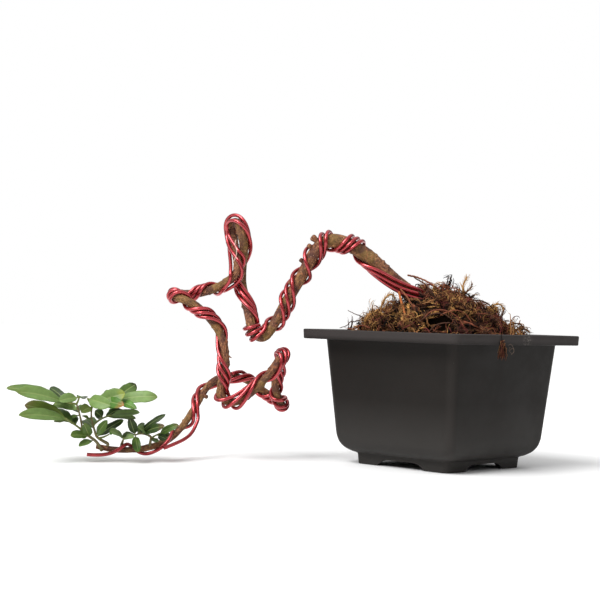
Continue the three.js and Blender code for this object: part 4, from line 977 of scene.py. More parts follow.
# A shoot is a list of stems, each a route and its leaflets: place along the stem, tip, width, tilt, and the
# colours of the blade and of its tip. Tilt 0 faces up and 90 faces the front.
SHOOTS = {
    "shoot_left": [
        ([
            (-272.3, -47.6, 9.2), (-274.1, -49.4, 13), (-276.4, -50.8, 16.3), (-279.1, -51.6, 18.6),
            (-283.5, -52.5, 21.4), (-287, -53, 24.5), (-287.7, -54, 29.3), (-288.5, -55, 34.1),
            (-289.4, -56, 38.1), (-290.4, -58, 42.9), (-291.4, -60, 46.1),
        ], [
            (0.36, (-294.8, -64, 21.6), 7.4, 60, MID, OLIVE),
            (0.34, (-284.1, -67, 31.5), 7, 75, MID, OLIVE),
            (0.24, (-288.5, -60, 12.8), 5.7, 45, PALE, PALE), (0.8, (-300, -50, 32.6), 3.1, 50, PALE, PALE),
            (0.9, (-312.5, -44, 44.2), 8.4, 50, PALE, OLIVE), (0.85, (-299.6, -28, 40), 10, 40, MID, MID),
        ]),
        ([
            (-291.4, -60, 46.1), (-294.7, -62, 46.7), (-298.3, -64, 47.5), (-301.3, -65, 48.1),
        ], [
            (1, (-334.8, -84, 55.8), 11.7, 55, PALE, OLIVE),
            (0.9, (-348.4, -52, 56.9), 9.6, 45, MID, OLIVE), (0.7, (-314.3, -50, 58), 6.3, 50, DARK, DARK),
            (0.5, (-313.8, -32, 49.5), 9.8, 35, MID, MID),
        ]),
        ([
            (-291.4, -60, 46.1), (-289.8, -61.5, 49.2), (-289.2, -63, 51.7),
        ], [
            (1, (-303, -74, 49), 7.9, 65, PALE, PALE), (0.9, (-288.7, -38, 48.9), 7.5, 40, MID, OLIVE),
        ]),
        ([
            (-287.4, -53.2, 25.3), (-291.6, -58, 29.1), (-295.8, -62, 32.4), (-298.6, -65, 34.9),
        ], [
            (1, (-330.1, -72, 45), 11.2, 55, OLIVE, BROWN),
            (0.95, (-330.8, -92, 38.3), 9.7, 60, GREYED, OLIVE),
            (0.85, (-308.7, -60, 31.9), 5.6, 40, OLIVE, OLIVE),
            (0.6, (-318.3, -32, 37.3), 11.2, 40, MID, MID), (0.4, (-303.9, -30, 33.5), 9.8, 35, MID, MID),
        ]),
    ],
    "shoot_middle": [
        ([
            (-267.7, -43.8, 13.9), (-271.3, -44.4, 16.1), (-274.9, -44.8, 18.1), (-276.9, -45.2, 20.2),
            (-278.3, -45.5, 24.1), (-279.8, -46, 28.9), (-281, -47, 34.5), (-281.1, -48, 40.2),
            (-280.2, -49, 44.2),
        ], [
            (0.33, (-266.9, -58, 33.7), 6.6, 75, MID, MID), (0.3, (-255.9, -44, 33.6), 6.5, 60, DARK, MID),
            (0.7, (-287.8, -53, 36.3), 2.6, 50, OLIVE, BLACK),
            (1, (-287.5, -61, 40), 8.1, 70, OLIVE, OLIVE), (0.5, (-289.9, -26, 31.2), 11.2, 40, MID, MID),
        ]),
        ([
            (-280.2, -49, 44.2), (-282.3, -52, 47.5), (-283.4, -56, 50.5),
        ], [
            (1, (-263.4, -70, 46.3), 10.4, 75, PALE, PALE),
        ]),
        ([
            (-280.2, -49, 44.2), (-276.9, -48, 47), (-271.5, -47, 48.7), (-265.3, -46, 49.6),
            (-259, -45, 50.1),
        ], [
            (0.18, (-254, -55, 55.2), 13.2, 65, PALE, YELLOW),
            (0.34, (-253.9, -62, 46.1), 9.5, 62, BRIGHT, ORANGE),
            (0.86, (-247.6, -36, 61.8), 10.2, 60, MID, BLACK),
            (0.95, (-228.5, -52, 53), 10.4, 58, PALE, OLIVE),
            (0.8, (-244, -60, 43.5), 6.8, 45, BRIGHT, MID), (0.5, (-264.2, -16, 54.1), 12.4, 40, MID, MID),
            (1, (-245.5, -22, 50.1), 12.6, 35, MID, MID),
        ]),
        ([
            (-279.8, -46, 28.9), (-276.1, -45, 32.1), (-271.5, -44, 34.9), (-266.9, -43, 36.6),
        ], [
            (0.62, (-277.5, -55, 40.7), 7.7, 70, DARK, DARK),
            (1, (-242.6, -50, 40.3), 6.3, 50, STRIPED, STRIPED),
            (0.85, (-246.6, -38, 34.7), 5.7, 45, STRIPED, OLIVE),
            (0.7, (-259.1, -32, 41.4), 6.3, 50, DARK, DARK), (0.9, (-257.5, -14, 38.7), 11.2, 35, MID, MID),
        ]),
        ([
            (-275.4, -45, 18.4), (-271, -47.5, 19.7), (-267.1, -50, 21.6),
        ], [
            (1, (-259.6, -54, 26.3), 3.2, 60, BRIGHT, BRIGHT),
        ]),
    ],
    "shoot_low": [
        ([
            (-257.7, -36.2, 12.4), (-256.3, -42, 16.3), (-254.4, -50, 19.4),
        ], [
            (0.97, (-263.8, -68, 26.3), 6.5, 60, STRIPED, MID),
            (1, (-244.7, -66, 21.8), 5.5, 60, STRIPED, PALE), (0.6, (-250.1, -32, 22.3), 8.4, 35, MID, MID),
        ]),
    ],
    "shoot_inner": [
        ([
            (-235.3, -33, 13.8), (-234.7, -34, 17.1), (-234.5, -35.6, 19.8), (-238.2, -38, 22),
            (-242.7, -41, 22.7), (-246.5, -44, 21.6),
        ], [
            (1, (-250, -53, 35.6), 6.8, 75, DARK, BLACK), (1, (-241.9, -56, 9.5), 6.5, 80, MID, BRIGHT),
            (0.88, (-222.3, -46, 39), 4.9, 55, DARK, DARK),
            (0.72, (-222.1, -54, 30.3), 7.4, 60, DARK, BROWN),
            (0.9, (-242, -28, 30.7), 4.7, 50, MID, BLACK),
            (0.42, (-243.4, -51, 28.3), 6.3, 55, STRIPED, PALE),
            (0.2, (-227.3, -46, 17.2), 3.9, 55, MID, MID), (0.6, (-243.5, -18, 23), 10, 40, MID, MID),
        ]),
        ([
            (-234.6, -34.6, 18.2), (-231.6, -35, 20.6), (-228.4, -35.5, 22.3),
        ], [
            (1, (-212.2, -40, 30.5), 6.1, 58, MID, BROWN), (0.8, (-221.5, -40, 18.7), 5.5, 60, DARK, DARK),
            (0.95, (-219.1, -36, 22.4), 4.6, 60, DARK, BROWN),
        ]),
    ],
}

BLADE_ROWS = 22
BLADE_COLUMNS = 11
BLADE_THICK = 0.42
BLADE_FULLNESS = 1.08
BLADE_ARCH = 0.07
BLADE_FOLD = 0.18
WIDE_SIDE = 1.1
NARROW_SIDE = 0.9
# Share of a blade's width along its length
BLADE_OUTLINE = broken_line([
    (0, 0.08), (0.06, 0.3), (0.14, 0.62), (0.26, 0.86), (0.42, 0.98), (0.56, 1.0), (0.7, 0.95),
    (0.82, 0.81), (0.9, 0.63), (0.96, 0.38), (1, 0.05),
])
STEM_ROOT = 1.35
TWIG_ROOT = 0.95
STEM_END = 0.62
STALK_RADII = (0.6, 0.38)
STEM_GREEN = srgb(110, 118, 58)
STEM_BROWN = srgb(110, 100, 60)


def blade(base, tip, width, tilt, wobble):
    """One leaflet: its points, faces and UV. Folded along the midrib, arched, with sunken veins."""
    length = np.linalg.norm(tip - base)
    direction = (tip - base) / length
    tilt = math.radians(tilt)
    level = unit(np.cross(direction, (0, -math.sin(tilt), math.cos(tilt))))
    face = unit(np.cross(level, direction))
    t = (1 - np.cos(np.linspace(0, math.pi, BLADE_ROWS + 1))) / 2
    tt, vv = np.meshgrid(t, np.linspace(-1, 1, BLADE_COLUMNS), indexing="ij")
    half = BLADE_FULLNESS * width / 2 * BLADE_OUTLINE(tt) * (1 + 0.03 * np.sin(tt * 23 + wobble))
    reach = vv * half * np.where(vv > 0, WIDE_SIDE, NARROW_SIDE)
    rise = BLADE_ARCH * length * np.sin(math.pi * tt) + BLADE_FOLD * half * np.abs(vv)
    rise += 0.35 * np.sin(tt * 9 + wobble) * vv * np.abs(vv)
    rib = np.exp(-((vv * half / 0.5) ** 2)) * -0.18
    slanted = tt * 9 - np.abs(vv) * half / length * 6 + wobble
    veins = -0.09 * np.exp(-((np.sin(math.pi * slanted) / 0.28) ** 2)) * (np.abs(vv) < 0.95)
    middle = base + direction * (tt * length)[..., None] + level * reach[..., None]
    thick = BLADE_THICK / 2 * (1 - 0.55 * vv**2)
    upper = middle + face * (rise + rib + veins + thick)[..., None]
    under = middle + face * (rise + rib * 0.3 - veins * 0.5 - thick)[..., None]
    points = np.concatenate([upper.reshape(-1, 3), under.reshape(-1, 3)])
    uv = np.stack([tt, (vv + 1) / 2], axis=-1).reshape(-1, 2)
    n, c = (BLADE_ROWS + 1) * BLADE_COLUMNS, BLADE_COLUMNS
    i, j = np.meshgrid(np.arange(BLADE_ROWS), np.arange(c - 1), indexing="ij")
    a = (i * c + j).ravel()
    top = np.stack([a, a + 1, a + c + 1, a + c], axis=1)
    bottom = np.stack([a + c, a + c + 1, a + 1, a], axis=1) + n
    edge = [k * c for k in range(BLADE_ROWS)] + [BLADE_ROWS * c + k for k in range(c - 1)]
    edge += [k * c + c - 1 for k in range(BLADE_ROWS, 0, -1)] + list(range(c - 1, 0, -1))
    rim = np.array([(a, b, b + n, a + n) for a, b in zip(edge, edge[1:] + edge[:1])])
    return points, [top, bottom, rim], np.concatenate([uv, uv])


def shoot_foot(root):
    """Where a shoot that starts at the root grows out of the trunk: a place just under the bark."""
    middle = route.along(np.arange(0, route.length, 0.5))[0]
    nearest = middle[np.argmin(np.linalg.norm(middle - root, axis=1))]
    return root + (nearest - root) * 0.7


def make_shoot(name, stems, leaf, stem):
    blades, stalks = Builder(), Builder()
    for order, (way, leaflets) in enumerate(stems):
        line = catmull(way, spacing=0.8)
        root, tint = TWIG_ROOT, STEM_GREEN
        if order == 0:
            root, tint = STEM_ROOT, STEM_BROWN
            foot = shoot_foot(line[0])
            line = catmull([foot, (foot + line[0]) / 2, *way], spacing=0.8)
        share = np.linspace(0, 1, len(line))
        swell = 1 + 0.12 * noise(line, 2.5, 30 + order)
        add_tube(stalks, line, (root + (STEM_END - root) * share) * swell, 10, tint)
        places = catmull(way, count=200)
        for k, (place, tip, width, tilt, tone, tip_tone) in enumerate(leaflets):
            at = places[min(int(place * 196), 200)]
            toward = unit(np.subtract(tip, at))
            start = at + toward * 1.6
            shade = 1 + 0.1 * math.sin(5.1 * k + 2.9 * order)
            shape = blade(start, np.array(tip, float), width, tilt, 1.7 * k + 2.3 * order)
            blades.add(*shape, tint=np.array(tone) * shade, tip=tip_tone)
            line = catmull([at, at + toward * 1.2 + (0, 0, 0.15), start + toward * 1.5], spacing=0.5)
            add_tube(stalks, line, np.linspace(*STALK_RADII, len(line)), 8, STEM_GREEN)
    return blades.finish(name + "_leaves", leaf), stalks.finish(name + "_stems", stem)


# Moss

GOLD = srgb(168, 126, 74)
OCHRE = srgb(134, 94, 60)
RUST = srgb(112, 64, 46)
MAROON = srgb(94, 42, 40)
UMBER = srgb(72, 47, 36)
# Near-black fibre tone: partly the moss's own dark fibres and partly painted shade; its share in the mixes
# gives dark gaps between the clumps
NEAR_BLACK_AND_SHADE = srgb(24, 17, 14)
ROOT_BROWN = srgb(126, 74, 52)
ROOT_ORANGE = srgb(160, 92, 50)
MOSS_TONES = np.array([GOLD, OCHRE, RUST, MAROON, UMBER, NEAR_BLACK_AND_SHADE])
GOLDEN_MIX = [0.32, 0.3, 0.17, 0.03, 0.1, 0.08]
BROWN_MIX = [0.07, 0.17, 0.27, 0.1, 0.24, 0.15]
HEAP_RINGS = [
    (101.2, 84), (107, 72), (111, 62), (116, 57), (120, 53), (124, 47), (128, 42), (133, 35), (138, 27),
    (142, 18), (145, 7),
]
HEAP_CENTRE = np.array([-2.0, 0.0, 0.0])
HEAP_TOP = 145.0
CORE_SIDES = 160
CORE_RINGS = 34
CORE_START = 101.4
CORE_BOTTOM = 101.3
CURL_STEPS = 8
SPRIG_STEPS = 10
HAIRS_A_STEP = 5
HAIR_BEND = 0.55
# Room for the moss in the pot: half width for the heap and for the fibres, lowest place and gap over the rim
HEAP_ROOM = 65.0
FIBRE_ROOM = 66.0
FIBRE_BOTTOM = 101.5
RIM_GAP = 0.6

# Balls of curled moss that bulge from the heap: centre, radius and whether it is golden
LUMPS = [
    ((-50, -27, 119), 10.5, True), ((-58, -14, 115), 8, True), ((-28.6, -44, 116.5), 10.5, True),
    ((8, -30, 133), 6, True), ((18, -30, 126), 6, True), ((-6, -26, 133), 9, False),
    ((41, -10, 128), 3.4, True), ((55, -16, 109), 6, True),
    ((27, -26, 120), 9, False), ((42, -22, 114), 8, False), ((2, -56, 108), 8, False),
    ((-12, 20, 138), 8, True), ((20, 34, 126), 9, True), ((-34, 36, 117), 10, False),
    ((-58, 12, 114), 9, True), ((10, 54, 114), 9, False), ((44, 30, 114), 9, True), ((60, 6, 112), 8, False),
]
# Hollows between them: centre and radius
HOLLOWS = [
    ((-11, -50, 117), 9), ((-42, -44, 112), 6), ((-30, -24, 129), 8), ((-2, -62, 108), 6),
    ((-25, -14, 141), 8), ((-20, 48, 116), 8), ((34, 44, 112), 7), ((52, -34, 110), 6),
]


def square_limit(direction, half):
    """Distance from the axis to a square that is turned with the pot, along unit directions."""
    u, v = turned(direction[:, 0], direction[:, 1], -POT_TURN)
    return half / np.maximum(np.abs(u), np.abs(v))


def heap_point(around, z):
    """Point on the heap's uneven outer face, which keeps within the pot below the rim."""
    direction = np.stack([np.cos(around), np.sin(around), np.zeros_like(around)], axis=1)
    reach = broken_line(HEAP_RINGS)(z)
    low = z < POT_HEIGHT + 1
    reach = np.where(low, np.minimum(reach, square_limit(direction, HEAP_ROOM)), reach)
    reach = reach * (1 - 0.09 * np.clip(direction[:, 0], 0, 1))
    point = HEAP_CENTRE + direction * reach[:, None] + np.stack([0 * z, 0 * z, z], axis=1)
    swell = noise(point, 14, 31) * 3.2 * np.clip((z - POT_HEIGHT) / 5, 0, 1)
    return point + direction * swell[:, None]


def nearness(points, centre, radius):
    """1 at a centre, falling to nothing at about twice the radius."""
    return np.exp(-((np.linalg.norm(points - centre, axis=1) / radius) ** 2))


def make_core(material):
    """Lumpy ground under the fibres, with its hollows. Its near-black colour is partly the packed moss's own
    dark brown and partly painted shade in the gaps between fibres.
    """
    around = np.arange(CORE_SIDES) * 2 * math.pi / CORE_SIDES
    rings = []
    for z in np.linspace(CORE_START, HEAP_TOP - 5, CORE_RINGS):
        ring = heap_point(around, np.full(CORE_SIDES, z))
        centre = np.array([HEAP_CENTRE[0], 0, z])
        rings.append(centre + (ring - centre) * (0.88 - 0.1 * (z - 101) / 45))
    skin = np.vstack(rings)
    out = unit(skin - (HEAP_CENTRE + (0, 0, 95)))
    depth = noise(skin, 9, 40) * 2.0 + noise(skin, 3.5, 41) * 1.2
    for centre, radius in HOLLOWS:
        depth -= 7 * nearness(skin, centre, radius)
    skin = skin + out * depth[:, None]
    skin[:, 2] = np.maximum(skin[:, 2], CORE_BOTTOM)
    return make_object("moss_core", skin, capped_faces(CORE_RINGS, CORE_SIDES), material)


def fibre_mesh(builder, paths, radius, tints):
    """Three-sided tapering closed fibres along paths (count, steps, 3), all in one go."""
    count, steps = paths.shape[:2]
    ahead = np.concatenate([paths[:, 1:], 2 * paths[:, -1:] - paths[:, -2:-1]], axis=1)
    behind = np.concatenate([2 * paths[:, :1] - paths[:, 1:2], paths[:, :-1]], axis=1)
    tangent = unit(ahead - behind)
    normal = unit(np.cross(tangent, unit(tangent[:, :1] * (0.2, -0.9, 0.3) + (0.5, 0.1, 0.8))))
    side = np.cross(tangent, normal)
    taper = 1 - 0.6 * np.linspace(0, 1, steps) ** 2
    taper[0] = 0.6
    rings = []
    for k in range(3):
        a = k * 2 * math.pi / 3
        out = normal * math.cos(a) + side * math.sin(a)
        rings.append(paths + out * (radius[:, None] * taper)[..., None])
    skin = np.stack(rings, axis=2).reshape(-1, 3)
    base = (np.arange(count) * steps * 3)[:, None]
    quads = (ring_faces(steps, 3)[None] + base[:, :, None]).reshape(-1, 4)
    first, last = base + np.array([2, 1, 0]), base + (steps - 1) * 3 + np.array([0, 1, 2])
    builder.add(skin, [quads, np.concatenate([first, last])], tint=np.repeat(tints, steps * 3, axis=0))


def curls(start, direction, centre, radius, steps, stride, curl):
    """Curling paths that stay near the shell of a ball: arrays of points, one row for each fibre."""
    n = len(start)
    axis = unit(rng.normal(size=(n, 3)))
    position, heading = start.copy(), unit(direction)
    path = [position.copy()]
    for _ in range(steps):
        turn = curl[:, None] * (0.7 + 0.6 * rng.random((n, 1)))
        heading = unit(heading + np.cross(axis, heading) * turn + rng.normal(size=(n, 3)) * 0.2)
        away = position - centre
        distance = np.linalg.norm(away, axis=1, keepdims=True)
        pull = np.clip((distance - radius[:, None]) / radius[:, None], -0.6, 1.2)
        heading = unit(heading - away / np.maximum(distance, 1e-6) * pull * 0.9)
        position = position + heading * stride[:, None]
        path.append(position.copy())
    return np.stack(path, axis=1)


def heap_spots(count, low=103.0, high=145.0):
    """Random points of the heap's face with the directions out of it."""
    around = rng.random(count) * 2 * math.pi
    z = low + (high - low) * rng.random(count) ** 1.25
    point = heap_point(around, z)
    ahead = heap_point(around + 0.03, z) - point
    above = heap_point(around, z + 0.8) - point
    return point, unit(np.cross(ahead, above))


def goldness(points):
    """How golden the moss is at points, from 0 to 1."""
    share = np.clip(noise(points, 11, 52) * 1.1 - 0.25, 0, 0.7)
    for centre, radius, golden in LUMPS:
        near = nearness(points, centre, radius * 1.1)
        share = share * (1 - near) + near * (1.0 if golden else 0.05)
    return share


def moss_tints(points, pale=1.0):
    """A tone for each fibre, drawn from the golden or the brown mix."""
    golden = rng.random(len(points)) < goldness(points)
    draw = rng.random(len(points))
    golden_pick = np.searchsorted(np.cumsum(GOLDEN_MIX), draw * 0.999)
    brown_pick = np.searchsorted(np.cumsum(BROWN_MIX), draw * 0.999)
    tone = MOSS_TONES[np.where(golden, golden_pick, brown_pick)]
    return tone * (0.45 + 1.05 * rng.random((len(points), 1))) * pale


def in_hollow(*places):
    """How deep fibres lie in the heap's hollows at some of their places, from 0 to 1."""
    return np.max([nearness(p, centre, radius) for p in places for centre, radius in HOLLOWS], axis=0)


def strand_mats(builder, locks, per_lock=7):
    """Locks of long strands that lie on the heap's face in all directions; locks that start deeper get
    painted shade, and those near the face are lighter.
    """
    point, out = heap_spots(locks)
    level = unit(np.cross(out, (0.0, 0.0, 1.0)))
    upward = np.cross(level, out)
    way = rng.choice((-1, 1), size=(locks, 1))
    rise, away = rng.normal(size=(locks, 1)), rng.normal(size=(locks, 1))
    depth = 4.5 * rng.random(locks)
    start = point - out * (0.5 + depth[:, None])
    ball = 12 + 14 * rng.random(locks)
    stride = 1.2 + 1.3 * rng.random(locks)
    curl = rng.normal(size=locks) * 0.3
    heading = level * way + upward * rise * 0.8 + out * away * 0.12
    mains = curls(start, heading, start - out * (ball[:, None] - 1), ball, CURL_STEPS, stride, curl)
    keep = rng.random(locks) > 1.5 * in_hollow(point, mains[:, 4], mains[:, 8])
    # Painted shade: a lock's tone darkens with how deep it starts in the heap
    tone = moss_tints(point) * (1.3 - 0.22 * depth[:, None])
    mains, tone = np.repeat(mains[keep], per_lock, axis=0), np.repeat(tone[keep], per_lock, axis=0)
    n, places = mains.shape[:2]
    share = np.linspace(0, 1, places)[None, :, None]
    paths = mains + rng.normal(size=(n, 1, 3)) * 0.75 + rng.normal(size=(n, 1, 3)) * 1.5 * share
    paths = paths + rng.normal(size=(n, places, 3)) * 0.14
    thick = 0.2 + 0.5 * rng.random(n) ** 2.5
    strange = rng.random(n) < 0.22
    tone[strange] = moss_tints(paths[strange, 4])
    fibre_mesh(builder, keep_inside(paths), thick, tone * (0.75 + 0.5 * rng.random((n, 1))))


def lump_curls(builder, centre, size, golden, count):
    """A ball of curled fibres with a few that stick out of it."""
    around = unit(rng.normal(size=(count, 3)))
    start = centre + around * size * (0.5 + 0.5 * rng.random((count, 1)))
    heading = np.cross(around, rng.normal(size=(count, 3)))
    stride = 1.3 + 1.0 * rng.random(count)
    curl = rng.normal(size=count) * 0.3 + 0.12
    reach = size * (0.7 + 0.42 * rng.random(count))
    paths = curls(start, heading, np.array(centre, float), reach, CURL_STEPS, stride, curl)
    mix = GOLDEN_MIX if golden else BROWN_MIX
    tone = MOSS_TONES[rng.choice(6, count, p=mix)] * (0.5 + 1.0 * rng.random((count, 1)))
    thick = 0.22 + 0.36 * rng.random(count) ** 2
    keep = rng.random(count) > 1.2 * in_hollow(paths[:, 4], paths[:, 8])
    fibre_mesh(builder, keep_inside(paths[keep]), thick[keep], tone[keep])


def add_hairs(builder, root, middle, tip, radius, tone):
    fibre_mesh(builder, np.stack([root, root + middle, root + tip], axis=1), np.full(len(root), radius), tone)


def hairy_sprigs(builder, count):
    """Moss sprigs: a bent main strand with short hairs along it."""
    point = heap_spots(count * 3, 105, 142)[0]
    point = point[in_hollow(point) < 0.5]
    chosen = np.argsort(-goldness(point) - 0.5 * rng.random(len(point)))[:count]
    point = point[chosen]
    out = unit(point - (HEAP_CENTRE + (0, 0, 98)))
    heading = out * 0.35 + rng.normal(size=(count, 3)) * 0.7
    stride = 0.8 + 0.5 * rng.random(count)
    ball = 9 + 7 * rng.random(count)
    start = point - out * 1.0
    centre = start - out * (ball[:, None] - 2)
    curl = rng.normal(size=count) * 0.3
    mains = keep_inside(curls(start, heading, centre, ball, SPRIG_STEPS, stride, curl))
    tone = moss_tints(point, 1.15)
    fibre_mesh(builder, mains, 0.45 + 0.25 * rng.random(count), tone)
    for step in range(2, SPRIG_STEPS + 1):
        for _ in range(HAIRS_A_STEP):
            side = unit(rng.normal(size=(count, 3)))
            along = unit(mains[:, step] - mains[:, step - 1])
            length = 1.0 + 1.0 * rng.random((count, 1))
            middle = (side * 0.8 + along * 0.6) * length * HAIR_BEND
            tip = (side * 0.9 + along * 1.3) * length
            add_hairs(builder, mains[:, step], middle, tip, 0.26, tone * (0.8 + 0.5 * rng.random((count, 1))))


def make_moss(material, locks=290, sprigs=60, per_lump=60):
    """Four tangles: three of strands and sprigs, and one of the curled balls."""
    pieces = []
    for label in "abc":
        builder = Builder()
        strand_mats(builder, locks)
        hairy_sprigs(builder, sprigs)
        pieces.append(builder.finish("moss_fibres_" + label, material))
    builder = Builder()
    for centre, size, golden in LUMPS:
        lump_curls(builder, centre, size, golden, per_lump + int(size * 6))
    pieces.append(builder.finish("moss_lumps", material))
    return pieces


def keep_inside(paths):
    """Holds fibres within the rim's inner edge below the top of the rim."""
    flat = paths.reshape(-1, 3).copy()
    distance = np.maximum(np.linalg.norm(flat * (1, 1, 0), axis=1), 1e-6)
    limit = square_limit(flat / distance[:, None], FIBRE_ROOM)
    low = flat[:, 2] < POT_HEIGHT + RIM_GAP
    shrink = np.where(low & (distance > limit), limit / distance, 1.0)
    flat[:, :2] *= shrink[:, None]
    outside = (distance > limit) & ~low
    flat[outside, 2] = np.maximum(flat[outside, 2], POT_HEIGHT + RIM_GAP)
    flat[:, 2] = np.maximum(flat[:, 2], FIBRE_BOTTOM)
    return flat.reshape(paths.shape)


# Upright sprigs, aerial roots, arched strands and loose wisps: points, root radius, end radius and tint
STRAYS = [
    ([(14, -6, 134), (16, -12, 142), (15.3, -15, 147.7), (17, -15, 153),
      (18.5, -14, 155.5)], 1.1, 0.5, GOLD),
    ([(18, -12, 143), (22, -13, 147), (23, -13, 150)], 0.6, 0.3, OCHRE),
    ([(36, -8, 124), (39, -10, 131), (43, -10, 134.5), (48, -9, 133.5), (50, -9, 129)], 0.8, 0.5, GOLD),
    ([(-36.6, -12, 142), (-36.4, -16, 139.7), (-35.6, -24, 134.6), (-34.3, -34, 128.9),
      (-33.5, -42, 123.4)], 1.0, 1.0, ROOT_ORANGE),
    ([(-36, -10, 146), (-34.6, -12, 143.5), (-30.4, -18, 138.2), (-26.7, -26, 131.9),
      (-21.7, -33, 129.2)], 0.8, 0.7, ROOT_BROWN),
    ([(-29, 1, 156.6), (-22.2, 0, 155.2), (-14, -2, 152.1), (-6, -6, 147.3), (0.4, -9, 143.3),
      (5, -14, 139.2)], 0.8, 0.6, ROOT_BROWN),
    ([(-24, -2, 155), (-20, -3, 152.5), (-15.1, -6, 149.5), (-11.3, -12, 143.7),
      (-9.3, -18, 138.8)], 0.6, 0.4, UMBER),
    ([(-5, -6, 146), (-2, -6, 148.4), (2.6, -12, 145), (6.6, -14, 140)], 0.6, 0.4, ROOT_BROWN),
    ([(-4, -8, 142), (0, -10, 149), (-1, -11, 152)], 0.6, 0.3, RUST),
    ([(2, -6, 142), (0, -10, 147), (8, -12, 146.5), (14, -14, 145)], 0.5, 0.35, ROOT_BROWN),
    ([(-52, -12, 124), (-50, -16, 133), (-47, -17, 138), (-43, -16, 140),
      (-40, -14, 137)], 0.9, 0.6, GOLD),
    ([(-49, -12, 122), (-47, -18, 131), (-44, -20, 134), (-41, -19, 131)], 0.7, 0.5, OCHRE),
    ([(-64, -14, 112), (-63, -20, 119), (-59, -22, 124), (-52, -24, 125),
      (-47, -26, 122)], 0.9, 0.7, GOLD),
    ([(-60, -14, 116), (-66.5, -12, 121.1), (-73, -10, 123.5), (-78, -8, 125.9)], 0.55, 0.25, UMBER),
    ([(-60, -14, 117), (-67.3, -14, 118.4), (-72.7, -16, 116.9), (-76.4, -18, 116.5),
      (-78.9, -20, 113.6), (-84.6, -22, 111.6)], 0.55, 0.3, UMBER),
    ([(-60, -24, 112), (-66.7, -22, 114), (-73.9, -20, 111), (-78, -19, 111)], 0.8, 0.5, RUST),
    ([(-24, -50, 116), (-18, -56, 122), (-9, -58, 125.5), (0, -58, 123), (6, -60, 116),
      (8, -62, 110)], 0.6, 0.45, UMBER),
    ([(-20, -52, 120), (-14, -55, 126.5), (-4, -56, 128), (6, -55, 124), (12, -56, 116),
      (14, -58, 110)], 0.6, 0.5, RUST),
    ([(-16, -60, 110), (-10, -62, 116), (0, -62, 118), (8, -60, 114), (12, -60, 109)], 0.7, 0.5, UMBER),
    ([(-6, -52, 124), (4, -50, 128), (14, -44, 126), (20, -44, 119)], 0.6, 0.4, ROOT_BROWN),
    ([(20, -30, 136), (28, -26, 137), (36, -20, 134), (42, -16, 128)], 0.6, 0.4, UMBER),
    ([(24, -36, 126), (34, -32, 126), (44, -26, 122), (52, -20, 117)], 0.6, 0.4, RUST),
    ([(50, -20, 114), (58, -16, 119), (64, -10, 118), (68, -8, 114)], 0.7, 0.4, UMBER),
    ([(54, -16, 112), (62, -10, 114), (68, -6, 115), (72, -4, 112)], 0.6, 0.4, OCHRE),
    ([(-3.5, -40, 124), (4, -36, 131), (10, -30, 137), (13, -24, 141)], 0.7, 0.5, OCHRE),
    ([(12, -40, 118), (15, -38, 126), (15, -34, 133), (14, -28, 138)], 0.6, 0.45, OCHRE),
]


def make_strays(material):
    """Listed strands; the golden and ochre ones carry hairs."""
    builder = Builder()
    for points, root, end, tint in STRAYS:
        line = catmull(points, spacing=1.0)
        line[1:] += rng.normal(size=(len(line) - 1, 3)) * 0.12
        add_tube(builder, line, np.linspace(root, end, len(line)), 7, tint)
        if tint is GOLD or tint is OCHRE:
            hairs_along(builder, line, np.array(tint))
    return builder.finish("moss_strays", material)


def hairs_along(builder, line, tint):
    steps = np.repeat(np.arange(1, len(line)), 4)
    n = len(steps)
    along = unit(line[steps] - line[steps - 1])
    side = unit(np.cross(along, rng.normal(size=(n, 3))))
    length = 1.6 + 1.6 * rng.random((n, 1))
    middle = (side * 0.8 + along * 0.5) * length * HAIR_BEND
    tip = (side * 0.8 + along * 1.2) * length
    add_hairs(builder, line[steps], middle, tip, 0.2, tint * (0.75 + 0.5 * rng.random((n, 1))))


# Centre line of the moss that hangs over the rim, with its half width
TUFT = [
    ((39.8, -77.4, 105), 0.5), ((40.0, -76.6, 101.5), 1.2), ((40.4, -75.4, 98), 2.0),
    ((40.4, -74.4, 94), 2.8), ((40.0, -73.6, 90), 3.4),
]
TUFT_MIX = [0.07, 0.12, 0.24, 0.14, 0.3, 0.13]
TUFT_STALK = [(39.2, -77.8, 110.4), (39.7, -78.2, 107.5), (39.9, -77.6, 104)]
# Pale wisps beside it
PALE_WISP = srgb(92, 78, 68)
WISPS = [
    [(45.6, -73.6, 101.8), (47.4, -73.0, 102.9), (49.6, -72.2, 100.4)],
    [(46.4, -73.0, 97.4), (48.8, -72.2, 99.6), (50.4, -71.6, 98.6)],
    [(47.0, -73.0, 100.6), (46.2, -73.2, 98.0), (48.6, -72.2, 95.4)],
    [(49.8, -72.0, 99.8), (50.2, -71.8, 97.0), (48.2, -72.4, 94.6)],
]


def make_hanging_tuft(material, count=110):
    """Moss that hangs over the rim's lower edge on the front right side."""
    out, level = unit((1.0, -1.0, 0.0)), unit((1.0, 1.0, 0.0))
    builder = Builder()
    spread = np.clip(rng.normal(size=(count, 1)), -1.6, 1.6)
    paths = []
    for centre, wide in TUFT:
        jitter = rng.normal(size=(count, 3)) * 0.5
        ahead = out * np.abs(rng.normal(size=(count, 1))) * 0.7
        paths.append(np.array(centre) + level * (spread * wide * 0.95) + ahead + jitter)
    paths = np.stack(paths, axis=1)
    short = rng.random((count, 1, 1))
    paths[:, :, 2:] += short * np.linspace(0, 6, len(TUFT))[None, :, None]
    tone = MOSS_TONES[rng.choice(6, count, p=TUFT_MIX)] * (0.25 + 0.7 * rng.random((count, 1)))
    tone[short[:, 0, 0] > 0.85] = OCHRE
    fibre_mesh(builder, paths, 0.2 + 0.2 * rng.random(count), tone)
    add_tube(builder, catmull(TUFT_STALK, spacing=0.6), 0.3, 6, NEAR_BLACK_AND_SHADE)
    for points in WISPS:
        add_tube(builder, catmull(points, spacing=0.5), 0.14, 6, PALE_WISP)
    return builder.finish("moss_hanging_tuft", material)


# Camera, light and floor

